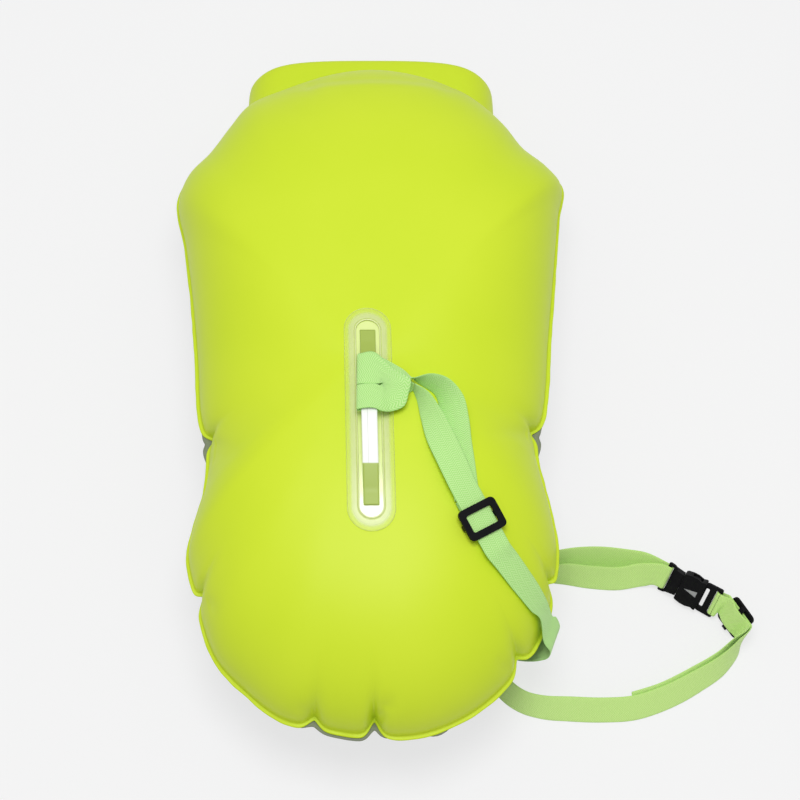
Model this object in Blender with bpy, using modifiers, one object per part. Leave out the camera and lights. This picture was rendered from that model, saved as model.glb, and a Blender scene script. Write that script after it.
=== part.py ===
"""Open water swim buoy: an inflated tow bag with a rolled dry compartment, a leash and a waist belt.

Metres, +Z up. The buoy lies on its valve side with its handle up. The origin is on the surface
that it lies on, under the middle of the bag. +Y runs to the rolled mouth and +X to the belt.
"""

import bisect
import math

import bmesh
import bpy
from mathutils import Matrix, Vector

# General
gap = 0.0003
overrun = 0.001
collection_name = "open_water_swim_buoy"

# Bag
bag_half_width = 0.1862
mouth_reach = 0.353
foot_reach = 0.3180
seam_height = 0.092
upper_rise = 0.098
film = 0.0008
weld_width = 0.0040
mouth_weld = 0.0014
mouth_half_width = 0.120
mouth_bow = 0.044
liner_sag = 0.026
meridians = 72
bag_rings = 16
liner_rings = 6
side_power_share = 2.15
mouth_power_share = 5.0
foot_power_share = 3.5
edge_power_share = 0.52

# Outline of the bag, anticlockwise from the middle of the mouth to the middle of the foot: shares
# of bag_half_width across, and of mouth_reach or foot_reach along
left_outline_shares = (
    (-0.23, 0.9825), (-0.46, 0.930), (-0.675, 0.868), (-0.756, 0.806), (-0.860, 0.720),
    (-0.962, 0.655), (-1.000, 0.600), (-0.953, 0.443), (-0.911, 0.300), (-0.868, 0.114),
    (-0.838, -0.060), (-0.790, -0.186), (-0.800, -0.290), (-0.842, -0.388), (-0.868, -0.488),
    (-0.837, -0.575), (-0.795, -0.668), (-0.716, -0.786), (-0.579, -0.873), (-0.395, -0.953),
    (-0.211, -0.978), (0.0, -0.996),
)
right_outline_shares = (
    (0.24, -0.994), (0.474, -0.938), (0.663, -0.842), (0.774, -0.755), (0.842, -0.668),
    (0.884, -0.565), (0.900, -0.466), (0.879, -0.366), (0.840, -0.262), (0.810, -0.162),
    (0.855, -0.050), (0.895, 0.171), (0.932, 0.357), (0.968, 0.543), (0.989, 0.634),
    (0.928, 0.678), (0.802, 0.738), (0.712, 0.808), (0.612, 0.866), (0.46, 0.930),
    (0.23, 0.9825), (0.0, 1.0),
)
# Tucks where the film folds at the seam: place as shares, then depth and half width
tuck_depth = 0.012
tuck_width = 0.010
tuck_shares = (
    (-0.815, -0.140, 0.8, 0.8), (-0.815, -0.620, 0.9, 0.7), (-0.255, -0.972, 0.8, 0.9),
    (0.030, -0.996, 1.3, 0.8), (0.720, -0.808, 0.9, 0.9), (0.876, -0.580, 0.8, 0.7),
    (0.834, -0.118, 0.7, 0.8),
)
tuck_reach_power = 9

# Rolled mouth
roll_half_width = 0.1255
roll_half_height = 0.039
roll_center_height = 0.053
roll_depth = 0.0260
roll_back_bow = 0.022
roll_thickness = 0.0140
roll_sheet = 0.0014
roll_pitch = 0.0023
roll_turns = 2.0
roll_end_reach = 0.056
roll_back = mouth_reach + roll_depth
stiffener_width = roll_depth - mouth_weld - roll_thickness - 2 * gap
neck_rise = seam_height - roll_center_height - roll_half_height + roll_sheet / 2

# Handle: a clear film welded round a slot, and a strip across the slot
patch_end_width = 0.0125
patch_width = 0.042
patch_center = -0.059
patch_turn = 1.6
patch_film = 0.0006
patch_bead = 0.0009
slot_length = 0.1850
patch_length = slot_length + 2 * patch_end_width
slot_width = 0.0205
strip_width = 0.0138
strip_film = 0.0014
strip_top_inset = 0.0095
strip_foot_inset = 0.0105
strip_top_end = patch_center + slot_length / 2 - strip_top_inset
strip_foot_end = patch_center - slot_length / 2 + strip_foot_inset
strip_weld = 0.013
strip_arch = 0.0115
strip_center = 0.0009

# Webbing, the same for the leash and the belt
webbing_width = 0.025
webbing_thickness = 0.0011
stitch_thickness = 0.0005
stitch_length = 0.018

# Sliders
slider_length = 0.0285
slider_width = 0.0375
slider_bar = 0.0050
slider_rail = 0.0040
slider_frame_thickness = 0.0022
slider_crossbar_thickness = 0.0016
slider_corner = 0.0045

# Side release buckles
buckle_length = 0.056
buckle_width = 0.032
buckle_thickness = 0.0090
buckle_mouth = -0.0105
buckle_wall = 0.0016
buckle_end_bar = 0.0034
buckle_bar_thickness = 0.0026
buckle_slot = 0.0040
buckle_slot_length = 0.0264
buckle_rear_length = 0.0165
buckle_base_thickness = 0.0070
buckle_guide_width = 0.0046
buckle_guide_reach = 0.0170
buckle_prong_thickness = 0.0048
buckle_cavity_width = 0.0252
buckle_window_start = 0.0070
buckle_window_length = 0.0105
buckle_vent_length = 0.0140
buckle_vent_width = 0.0062
arm_root_radius = 0.0013
arm_root_offset = 0.0098
arm_barb = 0.0052
arm_reach = 0.0185

# Valve, on the side that faces down
valve_place_shares = (0.58, 0.66856)
valve_flange_radius = 0.0165
valve_flange_thickness = 0.0009
valve_stem_radius = 0.0078
valve_stem_height = 0.0060
valve_bore_radius = 0.0042
stopper_radius = 0.0082
stopper_thickness = 0.0026
stopper_plug_radius = 0.0031
stopper_plug_length = 0.0015
stopper_strap_width = 0.0050
stopper_hinge_reach = 0.0125
tether_radius = 0.0012

# The hitch round the strip, from the front layer to the back layer: x, y, height over the bag,
# then the webbing's width as a vector whose length is the share of its width that shows
hitch_rows = (
    (0.0392, -0.0335, 0.0060, 0.05, 0.10, 0.42), (0.0325, -0.0325, 0.0038, 0.02, 0.52, 0.20),
    (0.0230, -0.0375, 0.0032, 0.00, 0.80, 0.06), (0.0145, -0.0440, 0.0048, 0.00, 0.92, -0.02),
    (0.0070, -0.0469, 0.0092, 0.00, 0.93, -0.07), (-0.0074, -0.0469, 0.0094, 0.00, 0.93, -0.07),
    (-0.0091, -0.0469, 0.0102, 0.00, 0.93, -0.07), (-0.0098, -0.0469, 0.0119, 0.00, 0.93, -0.07),
    (-0.0091, -0.0469, 0.0136, 0.00, 0.93, -0.07), (-0.0074, -0.0469, 0.0144, 0.00, 0.93, -0.07),
    (0.0070, -0.0469, 0.0148, 0.00, 0.93, -0.05), (0.0105, -0.0480, 0.0144, -0.06, 0.95, 0.08),
    (0.0165, -0.0465, 0.0122, -0.38, 0.74, 0.34), (0.0215, -0.0443, 0.0120, -0.72, 0.58, 0.28),
    (0.0237, -0.0380, 0.0130, -0.84, 0.18, 0.20), (0.0245, -0.0322, 0.0148, -0.95, -0.13, 0.06),
    (0.0202, -0.0288, 0.0142, -0.70, -0.33, 0.10), (0.0154, -0.0253, 0.0126, -0.40, -0.58, 0.20),
    (0.0110, -0.0207, 0.0112, -0.10, -0.96, 0.24),
    (0.0070, -0.0172, 0.0106, 0.00, -1.22, 0.25), (-0.0074, -0.0172, 0.0104, 0.00, -1.22, 0.25),
    (-0.0091, -0.0172, 0.0096, 0.00, -1.22, 0.25), (-0.0098, -0.0172, 0.0080, 0.00, -1.22, 0.25),
    (-0.0091, -0.0172, 0.0064, 0.00, -1.22, 0.25), (-0.0074, -0.0172, 0.0056, 0.00, -1.22, 0.25),
    (0.0070, -0.0172, 0.0056, 0.00, -1.20, 0.24), (0.0145, -0.0185, 0.0061, 0.00, -1.00, 0.16),
    (0.0230, -0.0205, 0.0070, 0.00, -0.72, 0.14), (0.0320, -0.0230, 0.0080, 0.02, -0.44, 0.24),
    (0.0395, -0.0258, 0.0076, 0.05, -0.10, 0.42),
)
# Route of the leash on the bag: x, y, turn of the webbing from flat in degrees, share of its width
# that shows, and lift off the bag
leash_front_route = (
    (0.0448, -0.0405, 64, 0.62, 0.0), (0.0520, -0.0575, 44, 0.84, 0.0015),
    (0.0595, -0.0765, 24, 0.96, 0.0030), (0.0705, -0.1010, 6, 1.0, 0.0058),
)
leash_back_route = (
    (0.0490, -0.0282, 76, 0.72, 0.0), (0.0600, -0.0340, 70, 0.92, 0.0),
    (0.0690, -0.0470, 48, 1.0, 0.0), (0.0740, -0.0640, 22, 1.0, 0.0), (0.0770, -0.0810, 6, 1.0, 0.0),
    (0.0800, -0.0980, 0, 1.0, 0.0),
)
leash_slider_place = (0.0957, -0.1511)
leash_slider_heading = -58.0
leash_slider_travel = 0.012
leash_lower_route = (
    (0.1180, -0.1835, 0, 1.0, 0.0030), (0.1290, -0.1945, 0, 1.0, 0.0015),
    (0.1390, -0.2040, 0, 1.0, 0.0012), (0.1460, -0.2115, 0, 1.0, 0.0022),
    (0.1512, -0.2172, 0, 1.0, 0.0042),
)
# Past the rim: x, y, z, then the webbing's width as a vector
leash_loop_slack = 0.0008
leash_rim_route = (
    (0.1590, -0.2255, 0.1040, 0.48, 0.88, 0.0), (0.1640, -0.2310, 0.0925, 0.38, 0.92, 0.0),
    (0.1615, -0.2330, 0.0805, 0.25, 0.96, -0.08), (0.1525, -0.2330, 0.0690, 0.10, 0.95, -0.26),
    (0.1420, -0.2305, 0.0540, 0.0, 0.90, -0.42), (0.1350, -0.2245, 0.0405, 0.0, 0.96, -0.26),
)
sewn_end_length = 0.020

# Route of the belt: each row is x, y, lean from upright in degrees, and lift off the ground
belt_upper_route = (
    (0.2560, -0.1440, -42, 0.0030), (0.2320, -0.1470, -42, 0.0004), (0.2050, -0.1455, -40, 0.0),
    (0.1780, -0.1430, -30, 0.0), (0.1560, -0.1480, 0, 0.0), (0.1385, -0.1610, 26, 0.0),
    (0.1230, -0.1790, 36, 0.0), (0.1150, -0.1980, 34, 0.0020), (0.1147, -0.2050, 34, 0.0026),
)
belt_loop_place = (0.1150, -0.2200, 34, 0.0028)
belt_lower_route = (
    (0.1160, -0.2350, 34, 0.0028), (0.1200, -0.2485, 37, 0.0014), (0.1300, -0.2595, 38, 0.0008),
    (0.1420, -0.2662, 40, 0.0), (0.1570, -0.2700, 44, 0.0), (0.1820, -0.2715, 50, 0.0),
    (0.2120, -0.2725, 50, 0.0), (0.2410, -0.2705, 50, 0.0), (0.2680, -0.2620, 48, 0.0),
    (0.3000, -0.2460, 42, 0.0), (0.3260, -0.2290, 30, 0.0), (0.3400, -0.2130, 12, 0.0010),
)
plug_tail_route = (
    (0.2550, -0.1330, -42, 0.0030), (0.2380, -0.1290, -42, 0.0), (0.2150, -0.1265, -40, 0.0),
    (0.1900, -0.1275, -38, 0.0), (0.1690, -0.1310, -34, 0.0),
)
# How far inside the belt's last rows the tail lies, from the slider back
socket_tail_offsets = (0.0082, 0.0120, 0.0135, 0.0130, 0.0120)
belt_buckle_place = (0.2985, -0.1595)
belt_buckle_heading = -30.3
belt_buckle_lean = 40.0
belt_slider_reach = 0.0220
belt_slider_bearing = -44.0
belt_slider_heading = -58.0
belt_slider_lean = 30.0
ribbon_step = 0.0080
fold_step = 0.0036
outline_step = 0.0030
layer_step = webbing_thickness + gap
crossbar_step = webbing_thickness + 2 * gap + slider_crossbar_thickness


def clear_scene():
    for thing in list(bpy.data.objects):
        bpy.data.objects.remove(thing, do_unlink=True)


def new_collection(name, hidden=False):
    collection = bpy.data.collections.new(name)
    bpy.context.scene.collection.children.link(collection)
    collection.hide_render = hidden
    return collection


def plain_material(name, color, roughness, alpha=1.0):
    material = bpy.data.materials.new(name)
    material.use_nodes = True
    shader = material.node_tree.nodes["Principled BSDF"]
    shader.inputs["Base Color"].default_value = (*color, 1.0)
    shader.inputs["Roughness"].default_value = roughness
    shader.inputs["Metallic"].default_value = 0.0
    shader.inputs["Alpha"].default_value = alpha
    return material


def smooth_rows(rows, step, places=3, closed=False):
    """A smooth curve through rows of numbers, of which the first few are a place, about step apart."""
    count = len(rows)
    rows = [Vector(row) for row in rows]
    found = []
    for span in range(count if closed else count - 1):
        if closed:
            a, b, c, d = (rows[(span + k) % count] for k in (-1, 0, 1, 2))
        else:
            a, b, c, d = (rows[min(max(span + k, 0), count - 1)] for k in (-1, 0, 1, 2))
        before, along, after = ((q - p).to_tuple()[:places] for p, q in ((a, b), (b, c), (c, d)))
        before, along, after = (math.hypot(*run) for run in (before, along, after))
        start = c - b
        if before > 0:
            start = ((b - a) * (along / before) + (c - b) * (before / along)) * (along / (before + along))
        end = c - b
        if after > 0:
            end = ((c - b) * (after / along) + (d - c) * (along / after)) * (along / (along + after))
        steps = max(1, math.ceil(along / step))
        for k in range(steps):
            t = k / steps
            found.append(tuple(
                b * (2 * t**3 - 3 * t**2 + 1) + start * (t**3 - 2 * t**2 + t)
                + c * (3 * t**2 - 2 * t**3) + end * (t**3 - t**2)
            ))
    if not closed:
        found.append(tuple(rows[-1]))
    return found


def add_mesh_object(name, bm, material, smooth=True):
    mesh = bpy.data.meshes.new(name)
    bmesh.ops.recalc_face_normals(bm, faces=bm.faces)
    bm.to_mesh(mesh)
    bm.free()
    mesh.materials.append(material)
    if smooth:
        mesh.shade_smooth()
        mesh.set_sharp_from_angle(angle=math.radians(40))
    thing = bpy.data.objects.new(name, mesh)
    parts.objects.link(thing)
    return thing


def thicken(thing, thickness, offset):
    solidify = thing.modifiers.new("Solidify", "SOLIDIFY")
    solidify.thickness = thickness
    solidify.offset = offset
    return thing


def mapped_grid(name, columns, rows, place, material, closed=False):
    """A grid whose vertex (column, row) is moved to place(column, row)."""
    bm = bmesh.new()
    bmesh.ops.create_grid(bm, x_segments=columns, y_segments=rows, size=1.0)
    xs = sorted({round(v.co.x, 5) for v in bm.verts})
    ys = sorted({round(v.co.y, 5) for v in bm.verts})
    for vert in bm.verts:
        column = xs.index(round(vert.co.x, 5)) / (len(xs) - 1)
        row = ys.index(round(vert.co.y, 5)) / (len(ys) - 1)
        vert.co = place(column, row)
    if closed:
        bmesh.ops.remove_doubles(bm, verts=bm.verts, dist=gap / 10)
    return add_mesh_object(name, bm, material)


def make_ribbon(name, stations, material, width=webbing_width, thickness=webbing_thickness, closed=False):
    """Flat webbing through stations of (center, across), with across a unit vector along its width."""
    count = len(stations) + (1 if closed else 0)

    def place(column, row):
        center, across = stations[round(row * (count - 1)) % len(stations)]
        return center + across * (width * (column - 0.5))

    thing = mapped_grid(name, 1, count - 1, place, material, closed)
    return thicken(thing, thickness, 0.0)


def parent_to(thing, empty):
    thing.parent = empty
    return thing


def add_frame(name, matrix):
    empty = bpy.data.objects.new(name, None)
    empty.matrix_world = matrix
    empty.empty_display_size = webbing_width
    parts.objects.link(empty)
    return empty


def frame_matrix(origin, x_axis, z_axis):
    z_axis = z_axis.normalized()
    y_axis = z_axis.cross(x_axis).normalized()
    x_axis = y_axis.cross(z_axis)
    matrix = Matrix((x_axis, y_axis, z_axis)).transposed().to_4x4()
    matrix.translation = origin
    return matrix


def heading_vector(degrees):
    return Vector((math.cos(math.radians(degrees)), math.sin(math.radians(degrees)), 0.0))


# Bag surface


def reach_along(share):
    return share * (mouth_reach if share > 0 else foot_reach)


def outline_of_bag():
    rows = [(x * bag_half_width, reach_along(y)) for x, y in left_outline_shares + right_outline_shares]
    return smooth_rows(rows, outline_step, 2, closed=True)


def polar(point):
    return math.atan2(point[1], point[0]) % math.tau, math.hypot(point[0], point[1])


outline_polar = sorted(polar(point) for point in outline_of_bag())
outline_angles = [angle for angle, _ in outline_polar]
outline_radii = [radius for _, radius in outline_polar]


def radius_at(angle):
    angle %= math.tau
    place = bisect.bisect_right(outline_angles, angle)
    before = place - 1
    after = place % len(outline_angles)
    span = (outline_angles[after] - outline_angles[before]) % math.tau
    share = ((angle - outline_angles[before]) % math.tau) / span
    return outline_radii[before] + (outline_radii[after] - outline_radii[before]) * share


def tuck_rows():
    """Angle, depth and half width in radians of each tuck."""
    rows = []
    for across, along, depth, width in tuck_shares:
        angle, radius = polar((across * bag_half_width, reach_along(along)))
        rows.append((angle, depth * tuck_depth, width * tuck_width / radius))
    return rows


tucks = tuck_rows()


def tuck_at(angle):
    """How far the seam is drawn in at this angle."""
    drawn = 0.0
    for center, depth, width in tucks:
        away = (angle - center + math.pi) % math.tau - math.pi
        drawn += depth * math.exp(-((away / width) ** 2))
    return drawn


def rise_share(angle, share):
    end_power_share = mouth_power_share if math.sin(angle) > 0 else foot_power_share
    power = side_power_share + (end_power_share - side_power_share) * math.sin(angle) ** 2
    return max(0.0, 1.0 - share**power) ** edge_power_share


def panel_rise(angle, share):
    """How far a panel's outside stands off the seam: over half of the liner at the rim."""
    at_rim = film / 2 + gap + film
    return at_rim + (upper_rise - at_rim) * rise_share(angle, share)


def rise_over(x, y):
    angle, distance = polar((x, y))
    return panel_rise(angle, min(distance / radius_at(angle), 1.0))


def bag_height(x, y):
    """Height of the upper panel's outside over a point of the ground, away from the tucks."""
    return seam_height + rise_over(x, y)


def under_height(x, y):
    """Height of the lower panel's outside over a point of the ground, away from the tucks."""
    return max(0.0, seam_height - rise_over(x, y))


def surface_normal(height, x, y):
    step = film
    slope_x = (height(x + step, y) - height(x - step, y)) / (2 * step)
    slope_y = (height(x, y + step) - height(x, y - step)) / (2 * step)
    return Vector((-slope_x, -slope_y, 1.0)).normalized()


def seat_on_bag(x, y, lift):
    """The point that far off the upper panel, and the panel's normal there."""
    normal = surface_normal(bag_height, x, y)
    return Vector((x, y, bag_height(x, y))) + normal * lift, normal


def meridian_angles():
    """Angles spaced evenly along the outline, closer together at the tucks."""
    weights = [0.0]
    rows = outline_polar + [(outline_polar[0][0] + math.tau, outline_polar[0][1])]
    for (a0, r0), (a1, r1) in zip(rows, rows[1:]):
        length = math.hypot(r1 - r0, (a1 - a0) * (r0 + r1) / 2)
        crowding = 1.0 + 2.6 * tuck_at((a0 + a1) / 2) / tuck_depth
        weights.append(weights[-1] + length * crowding)
    found = []
    for k in range(meridians):
        target = weights[-1] * k / meridians
        place = min(bisect.bisect_right(weights, target), len(rows) - 1)
        share = (target - weights[place - 1]) / (weights[place] - weights[place - 1])
        found.append(rows[place - 1][0] + (rows[place][0] - rows[place - 1][0]) * share)
    return found


def weld_at(angle):
    """Width of the welded rim: narrow along the mouth, full elsewhere."""
    point = radius_at(angle) * math.cos(angle), radius_at(angle) * math.sin(angle)
    if point[1] > 0 and abs(point[0]) < mouth_half_width:
        return mouth_weld
    return weld_width


def make_sheet(name, height_at, material, rings=bag_rings):
    """A welded sheet of the bag: half of a sphere, mapped so that its rim follows the outline."""
    bm = bmesh.new()
    bmesh.ops.create_uvsphere(bm, u_segments=meridians, v_segments=rings, radius=1.0)
    lower = [vert for vert in bm.verts if vert.co.z < -0.001]
    bmesh.ops.delete(bm, geom=lower, context="VERTS")
    angles = meridian_angles()
    rim = [edge for edge in bm.edges if edge.is_boundary]
    grown = bmesh.ops.extrude_edge_only(bm, edges=rim)["geom"]
    outer = {item for item in grown if isinstance(item, bmesh.types.BMVert)}
    for vert in bm.verts:
        turn = math.atan2(vert.co.y, vert.co.x) % math.tau
        share = min(math.hypot(vert.co.x, vert.co.y), 1.0)
        angle = angles[round(turn / math.tau * meridians) % meridians]
        drawn = tuck_at(angle) * share**tuck_reach_power
        radius = radius_at(angle) * share - drawn
        if vert in outer:
            radius += weld_at(angle)
        height = height_at(angle, share)
        vert.co = Vector((radius * math.cos(angle), radius * math.sin(angle), height))
    return add_mesh_object(name, bm, material)


def make_bag():
    upper = make_sheet(
        "handle_side_panel", lambda angle, share: seam_height + panel_rise(angle, share), film_material
    )
    thicken(upper, film, -1.0)
    lower = make_sheet(
        "valve_side_panel",
        lambda angle, share: max(0.0, seam_height - panel_rise(angle, share)),
        underside_material,
    )
    thicken(lower, film, -1.0)
    liner = make_sheet(
        "dry_compartment_liner",
        lambda angle, share: seam_height - liner_sag * max(0.0, 1.0 - share**2) ** 1.5,
        liner_material,
        liner_rings,
    )
    thicken(liner, film, 0.0)
    for thing, upward in ((upper, True), (lower, False), (liner, True)):
        face_up(thing, upward)


def face_up(thing, upward):
    """Turns an open sheet's faces all up or all down, for Solidify."""
    crown = min(thing.data.polygons, key=lambda face: face.center.xy.length)
    if (crown.normal.z > 0) != upward:
        thing.data.flip_normals()


# Rolled mouth


def roll_front(x):
    return mouth_reach + mouth_weld + gap - mouth_bow * (x / mouth_half_width) ** 2


def roll_rear(x):
    return roll_back - roll_back_bow * (x / roll_half_width) ** 4


def roll_stations():
    """Points of the flattened ring that the roll is bent into, as x, z and the outward normal."""
    radius = roll_half_height - roll_thickness / 2
    straight = roll_half_width - roll_thickness / 2 - radius
    rows = [(-roll_end_reach, -radius, 0.0, -1.0)]
    for k in range(8):
        turn = math.pi * k / 7
        rows.append((
            -straight - radius * math.sin(turn), -radius * math.cos(turn), -math.sin(turn), -math.cos(turn)
        ))
    for share in (-0.75, -0.45, -0.15, 0.15, 0.45, 0.75):
        rows.append((straight * share, radius, 0.0, 1.0))
    for k in range(8):
        turn = math.pi * (7 - k) / 7
        rows.append((
            straight + radius * math.sin(turn), -radius * math.cos(turn), math.sin(turn), -math.cos(turn)
        ))
    rows.append((roll_end_reach, -radius, 0.0, -1.0))
    return rows


def roll_section():
    """The rolled sheet's own line as shares: turn about the core, and how far in it lies."""
    count = round(roll_turns * 10)
    return [(math.radians(108) - math.tau * roll_turns * k / count, k / count) for k in range(count + 1)]


def make_roll():
    stations = roll_stations()
    section = roll_section()

    def place(column, row):
        x, up, normal_x, normal_z = stations[round(row * (len(stations) - 1))]
        front = roll_front(x)
        back = roll_rear(x)
        step = round(column * len(section))
        if step == 0:
            y = front + roll_sheet / 2
            out = roll_thickness / 2 - roll_sheet / 2 + neck_rise * max(0.0, normal_z) ** 6
        else:
            turn, inward = section[step - 1]
            radius = roll_thickness / 2 - roll_sheet / 2 - roll_pitch * roll_turns * inward
            flat = (back - front - roll_thickness) / 2
            y = (front + back) / 2 + math.copysign(flat, math.cos(turn)) + radius * math.cos(turn)
            out = radius * math.sin(turn)
        return Vector((x + normal_x * out, y, roll_center_height + up + normal_z * out))

    roll = mapped_grid("rolled_mouth", len(section), len(stations) - 1, place, film_material)
    thicken(roll, roll_sheet, 0.0)

    def place_core(column, row):
        x, up, _, _ = stations[round(row * (len(stations) - 1))]
        middle = (roll_front(x) + roll_rear(x)) / 2
        return Vector((x, middle + stiffener_width * (column - 0.5), roll_center_height + up))

    core = mapped_grid("mouth_stiffener", 1, len(stations) - 1, place_core, stiffener_material)
    thicken(core, roll_thickness - 2 * roll_sheet - 2 * roll_pitch * roll_turns - 2 * gap, 0.0)


# Handle


def stadium(turn_share, length, width):
    """A point of a long outline with round ends, once round for turn_share from 0 to 1."""
    radius = width / 2
    straight = length / 2 - radius
    quarter = turn_share * 4
    side = 1 if quarter < 2 else -1
    local = (quarter % 2) / 2
    if local < 0.7:
        turn = math.pi * local / 0.7
        return radius * math.cos(turn) * side, (straight + radius * math.sin(turn)) * side
    run = (local - 0.7) / 0.3
    return -radius * side, straight * (1 - 2 * run) * side


def middle_at(y):
    """The handle's long middle line, which is turned a little on the bag."""
    return strip_center - (y - patch_center) * math.tan(math.radians(patch_turn))


def make_patch():
    def place(column, row):
        inner = stadium(column % 1.0, slot_length, slot_width)
        outer = stadium(column % 1.0, patch_length, patch_width)
        y = patch_center + inner[1] + (outer[1] - inner[1]) * row
        x = middle_at(y) + inner[0] + (outer[0] - inner[0]) * row
        bead = max(0.0, 1 - row * 5) + max(0.0, row * 5 - 4)
        return seat_on_bag(x, y, gap + patch_film + patch_bead * bead)[0]

    patch = mapped_grid("handle_patch", 36, 5, place, clear_material, closed=True)
    face_up(patch, True)
    thicken(patch, patch_film, -1.0)


def strip_height(y):
    """How far the middle of the strip's thickness lies over the bag."""
    run = (strip_top_end - strip_weld - y) / (strip_top_end - strip_foot_end - 2 * strip_weld)
    rise = math.sin(math.pi * min(max(run, 0.0), 1.0))
    return gap + strip_film / 2 + strip_arch * rise


def make_strip():
    stations = []
    for k in range(29):
        y = strip_top_end + (strip_foot_end - strip_top_end) * k / 28
        x = middle_at(y)
        center = Vector((x, y, bag_height(x, y) + strip_height(y)))
        stations.append((center, Vector((1.0, 0.0, 0.0))))
    make_ribbon("handle_strip", stations, clear_material, strip_width, strip_film)


# Leash


def ribbon_stations(rows, step=ribbon_step):
    """Smoothed stations from rows of a center and a width vector."""
    return [(Vector(row[:3]), Vector(row[3:6])) for row in smooth_rows(rows, step)]


def route_rows(route, next_point):
    """Rows of center and width vector for a route that lies on the bag."""
    points = [Vector(row[:2]) for row in route] + [Vector(next_point[:2])]
    rows = []
    for k, (x, y, turn, share, lift) in enumerate(route):
        run = points[k + 1] - points[max(k - 1, 0)]
        normal = surface_normal(bag_height, x, y)
        ahead = Vector((run.x, run.y, 0.0))
        ahead = (ahead - normal * ahead.dot(normal)).normalized()
        left = normal.cross(ahead)
        angle = math.radians(turn)
        half = webbing_width * share / 2
        height = gap + abs(math.sin(angle)) * half + abs(math.cos(angle)) * webbing_thickness / 2 + lift
        center = seat_on_bag(x, y, height)[0]
        width = (left * math.cos(angle) + normal * math.sin(angle)) * share
        rows.append((*center, *width))
    return rows


def row_past(last, before):
    """A row just past the end of other webbing, in line with it and face to face."""
    ahead = (Vector(last[:3]) - Vector(before[:3])).normalized()
    return (*(Vector(last[:3]) + ahead * 2 * gap), *last[3:])


def leash_slider_matrix():
    """Frame on the through layer at the slider: +X down the leash, +Z off the bag."""
    under = gap + webbing_thickness + gap + slider_crossbar_thickness + gap + webbing_thickness + gap
    origin, normal = seat_on_bag(*leash_slider_place, under + webbing_thickness / 2)
    return frame_matrix(origin, heading_vector(leash_slider_heading), normal)


def local_rows(matrix, points):
    """Rows for places along a frame's X axis, with the webbing's width along its Y axis."""
    across = matrix.to_3x3() @ Vector((0.0, 1.0, 0.0))
    return [(*(matrix @ Vector((x, 0.0, z))), *across) for x, z in points]


def make_leash():
    frame = leash_slider_matrix()
    straight = slider_length / 2 + leash_slider_travel + gap
    hitch = []
    for x, y, height, *width in hitch_rows:
        hitch.append((x, y, bag_height(x, y) + height, *width))
    make_ribbon("leash_hitch", ribbon_stations(hitch, fold_step), webbing_material)
    entry = frame @ Vector((-straight, 0.0, 0.0))
    stub = straight - 2 * webbing_thickness
    through = local_rows(frame, ((-straight, 0.0), (-stub, 0.0), (stub, 0.0), (straight, 0.0)))
    front = [row_past(hitch[0], hitch[1])] + route_rows(leash_front_route, entry) + through
    front += route_rows(leash_lower_route, leash_rim_route[0]) + list(leash_rim_route) + leash_loop_rows()
    make_ribbon("leash_front_layer", ribbon_stations(front), webbing_material)
    legs = slider_crossbar_thickness + 2 * gap + webbing_thickness
    bar_height = -webbing_thickness / 2 - gap - webbing_thickness - gap - slider_crossbar_thickness / 2
    close = layer_step / 2
    tail = slider_bar / 2 + sewn_end_length
    back = [row_past(hitch[-1], hitch[-2])]
    back += route_rows(leash_back_route, frame @ Vector((-tail, 0.0, 0.0)))
    back += local_rows(frame, ((-tail - 2 * gap - webbing_thickness, bar_height - close),))
    make_ribbon("leash_back_layer", ribbon_stations(back), webbing_material)
    turn_rows = [(-tail, close), (-tail * 0.6, close), (-slider_bar * 1.3, close * 1.6)]
    around = [
        (slider_bar / 2 + math.sin(turn) * legs / 2, math.cos(turn) * legs / 2)
        for turn in (0.0, math.pi / 4, math.pi / 2, 3 * math.pi / 4, math.pi)
    ]
    loop = turn_rows + [(-slider_bar / 2, legs / 2)] + around
    loop += [(-slider_bar / 2, -legs / 2)] + [(x, -z) for x, z in reversed(turn_rows)]
    sewn = local_rows(frame, [(x, z + bar_height) for x, z in loop])
    stations = [(Vector(row[:3]), Vector(row[3:])) for row in sewn]
    make_ribbon("leash_sewn_end", stations, webbing_material)
    empty = add_frame("leash_slider_frame", frame)
    make_slider("leash_slider", empty, 1, bar_height)


def leash_loop_rows():
    """Last stretch of the leash: down the side of its sewn loop, in the belt's frame there."""
    frame = belt_loop_matrix()
    offset = -(2 * webbing_thickness + leash_loop_slack + gap)
    along_belt = frame.to_3x3() @ Vector((1.0, 0.0, 0.0))
    rows = []
    for up in (0.9, 0.5, 0.05):
        rows.append((*(frame @ Vector((0.0, webbing_width * up, offset))), *(-along_belt)))
    return rows


def make_belt_loop():
    frame = belt_loop_matrix()
    along_belt = frame.to_3x3() @ Vector((1.0, 0.0, 0.0))
    radius = webbing_thickness + leash_loop_slack
    straight = webbing_width / 2 - webbing_thickness / 2
    stations = []
    for side in (1, -1):
        for k in range(5):
            turn = math.pi * k / 4
            up = side * (straight + radius * math.sin(turn))
            out = side * radius * math.cos(turn)
            stations.append((frame @ Vector((0.0, up, out)), along_belt))
        stations.append((frame @ Vector((0.0, 0.0, -side * radius)), along_belt))
    make_ribbon("leash_belt_loop", stations, webbing_material, closed=True)


# Belt


def lean_rows(route, before, after):
    """Rows of center and width vector for webbing that stands on its edge on the ground."""
    points = [Vector(before[:2])] + [Vector(row[:2]) for row in route] + [Vector(after[:2])]
    rows = []
    for k, (x, y, lean, lift) in enumerate(route):
        ahead = (points[k + 2] - points[k]).normalized()
        left = Vector((-ahead.y, ahead.x, 0.0))
        angle = math.radians(lean)
        up = math.cos(angle)
        width = left * math.sin(angle) + Vector((0.0, 0.0, up))
        height = webbing_width / 2 * up + webbing_thickness / 2 * abs(math.sin(angle)) + gap + lift
        rows.append((x, y, height, *width))
    return rows


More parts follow.
